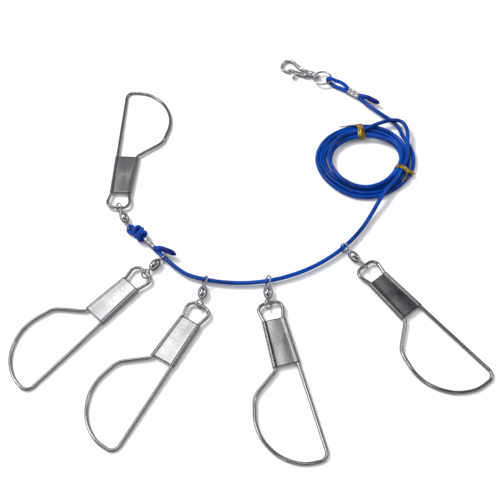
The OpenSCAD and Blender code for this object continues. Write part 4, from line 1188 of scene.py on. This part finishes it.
def gate_parts():
    """The gate: a blade from its eye to the hook's tip with a hump, and the thumb ball on its stem."""
    reach = SHOULDER + HOOK_SHARES[-1][0] * SNAP_LEN - PIVOT[0] + HOOK_R
    top = HOOK_SHARES[-1][1] * SNAP_W - HOOK_R - GATE_PLAY - PIVOT[1]
    r = GATE_EYE_R
    ridge = [[x * reach, top + y * r] for x, y in GATE_SHARES]
    belly = [reach * BELLY_SHARES[0], r * BELLY_SHARES[1]]
    outline = np.vstack([arc(r, 90, 270, 17), [belly], ridge]) + PIVOT
    up = top + BALL_OFF + r
    at = np.array([PIVOT[0] + reach * BALL_SHARE, PIVOT[1], 0])
    stem = tube([at + [0, y, 0] for y in (top, (top + up) / 2, up)], BALL_STEM_R, sides=20, dome=False, up=UP)
    ball = lathe(arc(BALL_R, 178, 2, 22), sides=32)
    return [plate(outline, GATE_T, GATE_BEVEL), stem, placed(ball, turn("Z", 90), at + [0, up, 0])]


class STRINGER_OT_snap(bpy.types.Operator):
    """Makes the trigger snap: the ring with its hub, the cast body, the gate and the rivet"""

    bl_idname = "stringer.snap"
    bl_label = "Trigger snap"

    def execute(self, context):
        m = turn("Z", CLASP_ANGLE) @ turn("Y", DROOP)
        rivet = placed(lathe(two_ended(RIVET_END), sides=32), turn("Y", 90), (*PIVOT, 0))
        hub = lathe(two_ended(HUB_END), loop=True, at=HUB_AT)
        rows = (("snap_ring", [ring_part(LINK_R, LINK_WIRE_R, 20, 96, at=LINK_R), hub], "clasp_ring", None),
                ("snap_hook", hook_parts(), "clasp_body", 0.22),
                ("snap_gate", gate_parts(), "clasp_gate", 0.2),
                ("snap_rivet", [rivet], "clasp_rivet", None))
        for name, parts, stands, cast in rows:
            body = "clasp_body" if stands == "clasp_rivet" else stands
            parts = [placed(x, m, CLASP_AT) for x in parts]
            piece(name, parts, chrome_finish(), body, (stands,), cast=cast)
        return {"FINISHED"}


# Stage


def aimed(name, data, at, back, side):
    """An object at a place that looks away from back, with side on its right."""
    o = bpy.data.objects.new(name, data)
    bpy.context.scene.collection.objects.link(o)
    o.matrix_world = Matrix([*np.c_[side, np.cross(back, side), back, at].tolist(), (0, 0, 0, 1)])
    return o


def area_light(name, at, size, power):
    """A square soft light that shines on the middle, and that the metal doesn't mirror."""
    d = bpy.data.lights.new(name, "AREA")
    d.shape, d.size, d.energy = "SQUARE", size, power
    back = unit(np.array(at))
    o = aimed(name, d, at, back, unit(np.cross([0, 0.01, 1], back)))
    o.visible_glossy = False


def toward(azimuth, elevation):
    """The direction at an azimuth from +Y towards +X and an elevation."""
    e = math.radians(elevation)
    return along(90 - azimuth) * math.cos(e) + math.sin(e) * UP


# What the metal mirrors. The softbox: azimuth and elevation, and how bright the studio is at each
# angle from it. The lamps: azimuth, elevation, reach and brightness. The walls, the dark flags in
# front of them as azimuth, elevation and reach, the horizon, and the floor far off and near
SOFTBOX = (-22, 64.5)
STUDIO_RAMP = ((0, 2.9), (6.5, 2.5), (9, 1.2), (11, 0.4), (14, 0.1), (17, 0.0), (180, 0.0))
LAMPS = ((-80, 46, 12, 4.0), (80, 36, 9, 3.0), (165, 62, 4, 2.0), (0, 86, 6, 3.0), (-140, 25, 8, 2.0))
WALL, FLAG = (0.19, 0.1843, 0.2014, 1), (0.03, 0.028, 0.036, 1)
FLAGS = ((24, 58, 22), (180, 52, 34))
HORIZON = 0.7
FLOOR_NEAR, FLOOR_FAR = (0.03, 0.03, 0.03, 1), (0.85, 0.85, 0.85, 1)


def studio_walls(w):
    """What the metal mirrors: a softbox, lamps, grey walls with dark flags in front of them and a
    bright horizon, and below it the floor, dark beneath the part and pale far off."""
    way = w.nodes.new("ShaderNodeTexCoord").outputs["Generated"]

    def angle_to(azimuth, elevation):
        dot = vector_math(w, "DOT_PRODUCT", {0: way, 1: tuple(toward(azimuth, elevation))})["Value"]
        return math_of(w, "DIVIDE", math_of(w, "ARCCOSINE", dot), math.pi)

    def patch(azimuth, elevation, reach, inside, outside):
        return ranged(w, angle_to(azimuth, elevation), reach * 0.6 / 180, reach / 180, inside, outside)

    ramp = node(w, "ShaderNodeValToRGB", {0: angle_to(*SOFTBOX)})
    stops = ramp.color_ramp.elements
    for angle, value in STUDIO_RAMP:
        ends = {0: stops[0], 180: stops[len(stops) - 1]}
        stop = ends[angle] if angle in ends else stops.new(angle / 180)
        stop.color = (value, value, value, 1)
    walls = WALL
    for *place, reach in FLAGS:
        walls = mixed(w, patch(*place, reach, 0.0, 1.0), FLAG, walls)
    height = node(w, "ShaderNodeSeparateXYZ", {0: way}).outputs[2]
    total = ramp.outputs[0]
    for more in (walls, *[patch(*lamp, 0.0) for lamp in LAMPS], ranged(w, height, 0.26, 0.05, 0.0, HORIZON)):
        total = vector_math(w, "ADD", {0: total, 1: more})[0]
    floor = mixed(w, ranged(w, height, -0.5, -0.08, 0.0, 1.0), FLOOR_NEAR, FLOOR_FAR)
    colour = mixed(w, ranged(w, height, -0.02, 0.02, 0.0, 1.0), floor, total)
    fill(w, w.nodes["Background"], {"Color": colour})


def floor_finish(colour):
    """Matt white, with faint clouds."""

    def build(t, at, uv):
        return {"Base Color": mixed(t, noise(t, at, 30.0, 2.0), scaled(colour, 0.99), scaled(colour)),
                "Roughness": 0.6, "Specular IOR Level": 0.2}

    return material_of("pale_floor", build)


# In metres. The camera: what it looks at, its distance, its elevation in degrees and its roll in
# radians. The floor: half its width. The key light: its place and size. The even light: its height
# and size
AIM, DISTANCE, ELEVATION, ROLL = np.array([0.009, -0.014, 0.0]), 0.6365, 58.26, -0.0704
FLOOR_HALF = 6
KEY_AT, KEY_SIZE, TENT_HEIGHT, TENT_SIZE = (-0.86, 0.86, 1.26), 0.42, 2.2, 6.0


class STRINGER_OT_stage(bpy.types.Operator):
    """Sets the camera, the pale floor and the soft studio light"""

    bl_idname = "stringer.stage"
    bl_label = "Stage"

    def execute(self, context):
        scene = context.scene
        s = scene.stringer_stage
        back, right = toward(180, ELEVATION), np.array([1.0, 0, 0])
        cam = bpy.data.cameras.new("camera")
        cam.lens, cam.sensor_width, cam.clip_start, cam.clip_end = s.lens, 36, 0.01, 20
        side = math.cos(ROLL) * right + math.sin(ROLL) * np.cross(back, right)
        scene.camera = aimed("camera", cam, AIM + DISTANCE * back, back, side)

        me = bpy.data.meshes.new("floor")
        corners = [(x * FLOOR_HALF, y * FLOOR_HALF, 0) for x, y in ((-1, -1), (1, -1), (1, 1), (-1, 1))]
        me.from_pydata(corners, [], [(0, 1, 2, 3)])
        me.materials.append(floor_finish(s.floor_colour))
        floor = bpy.data.objects.new("floor", me)
        scene.collection.objects.link(floor)
        floor.visible_glossy = False

        area_light("key", KEY_AT, KEY_SIZE, s.key_power)
        area_light("tent", (0, 0, TENT_HEIGHT), TENT_SIZE, s.even_light * math.pi * TENT_SIZE ** 2)
        scene.world = bpy.data.worlds.new("studio")
        scene.world.use_nodes = True
        studio_walls(scene.world.node_tree)
        scene.view_settings.view_transform = "Standard"
        return {"FINISHED"}


class STRINGER_PT_pieces(bpy.types.Panel):
    """Lists the stringer's settings and pieces"""

    bl_label = "Fish stringer"
    bl_space_type = "VIEW_3D"
    bl_region_type = "UI"
    bl_category = "Stringer"

    def draw(self, context):
        for title, settings, steps in STEPS:
            box = self.layout.box()
            box.label(text=title)
            group = getattr(context.scene, settings)
            for key in type(group).__annotations__:
                box.prop(group, key)
            for step in steps:
                box.operator(f"stringer.{step}")


STEPS = (
    ("Stage", "stringer_stage", ("stage",)),
    ("Cord", "stringer_cord", ("cord",)),
    ("Clips", "stringer_clips", ("wires", "sleeves")),
    ("Fittings", "stringer_metal", ("crimps", "ties", "swivels", "snap")),
)
GROUPS = {"stringer_stage": StringerStage, "stringer_cord": StringerCord,
          "stringer_clips": StringerClips, "stringer_metal": StringerMetal}
CLASSES = (*GROUPS.values(), STRINGER_OT_stage, STRINGER_OT_cord, STRINGER_OT_wires, STRINGER_OT_sleeves,
           STRINGER_OT_crimps, STRINGER_OT_ties, STRINGER_OT_swivels, STRINGER_OT_snap, STRINGER_PT_pieces)


def register():
    for c in CLASSES:
        bpy.utils.register_class(c)
    for name, group in GROUPS.items():
        setattr(bpy.types.Scene, name, PointerProperty(type=group))


def unregister():
    for name in GROUPS:
        delattr(bpy.types.Scene, name)
    for c in reversed(CLASSES):
        bpy.utils.unregister_class(c)


def main():
    register()
    for *_, steps in STEPS:
        for step in steps:
            getattr(bpy.ops.stringer, step)()


if __name__ == "__main__":
    main()
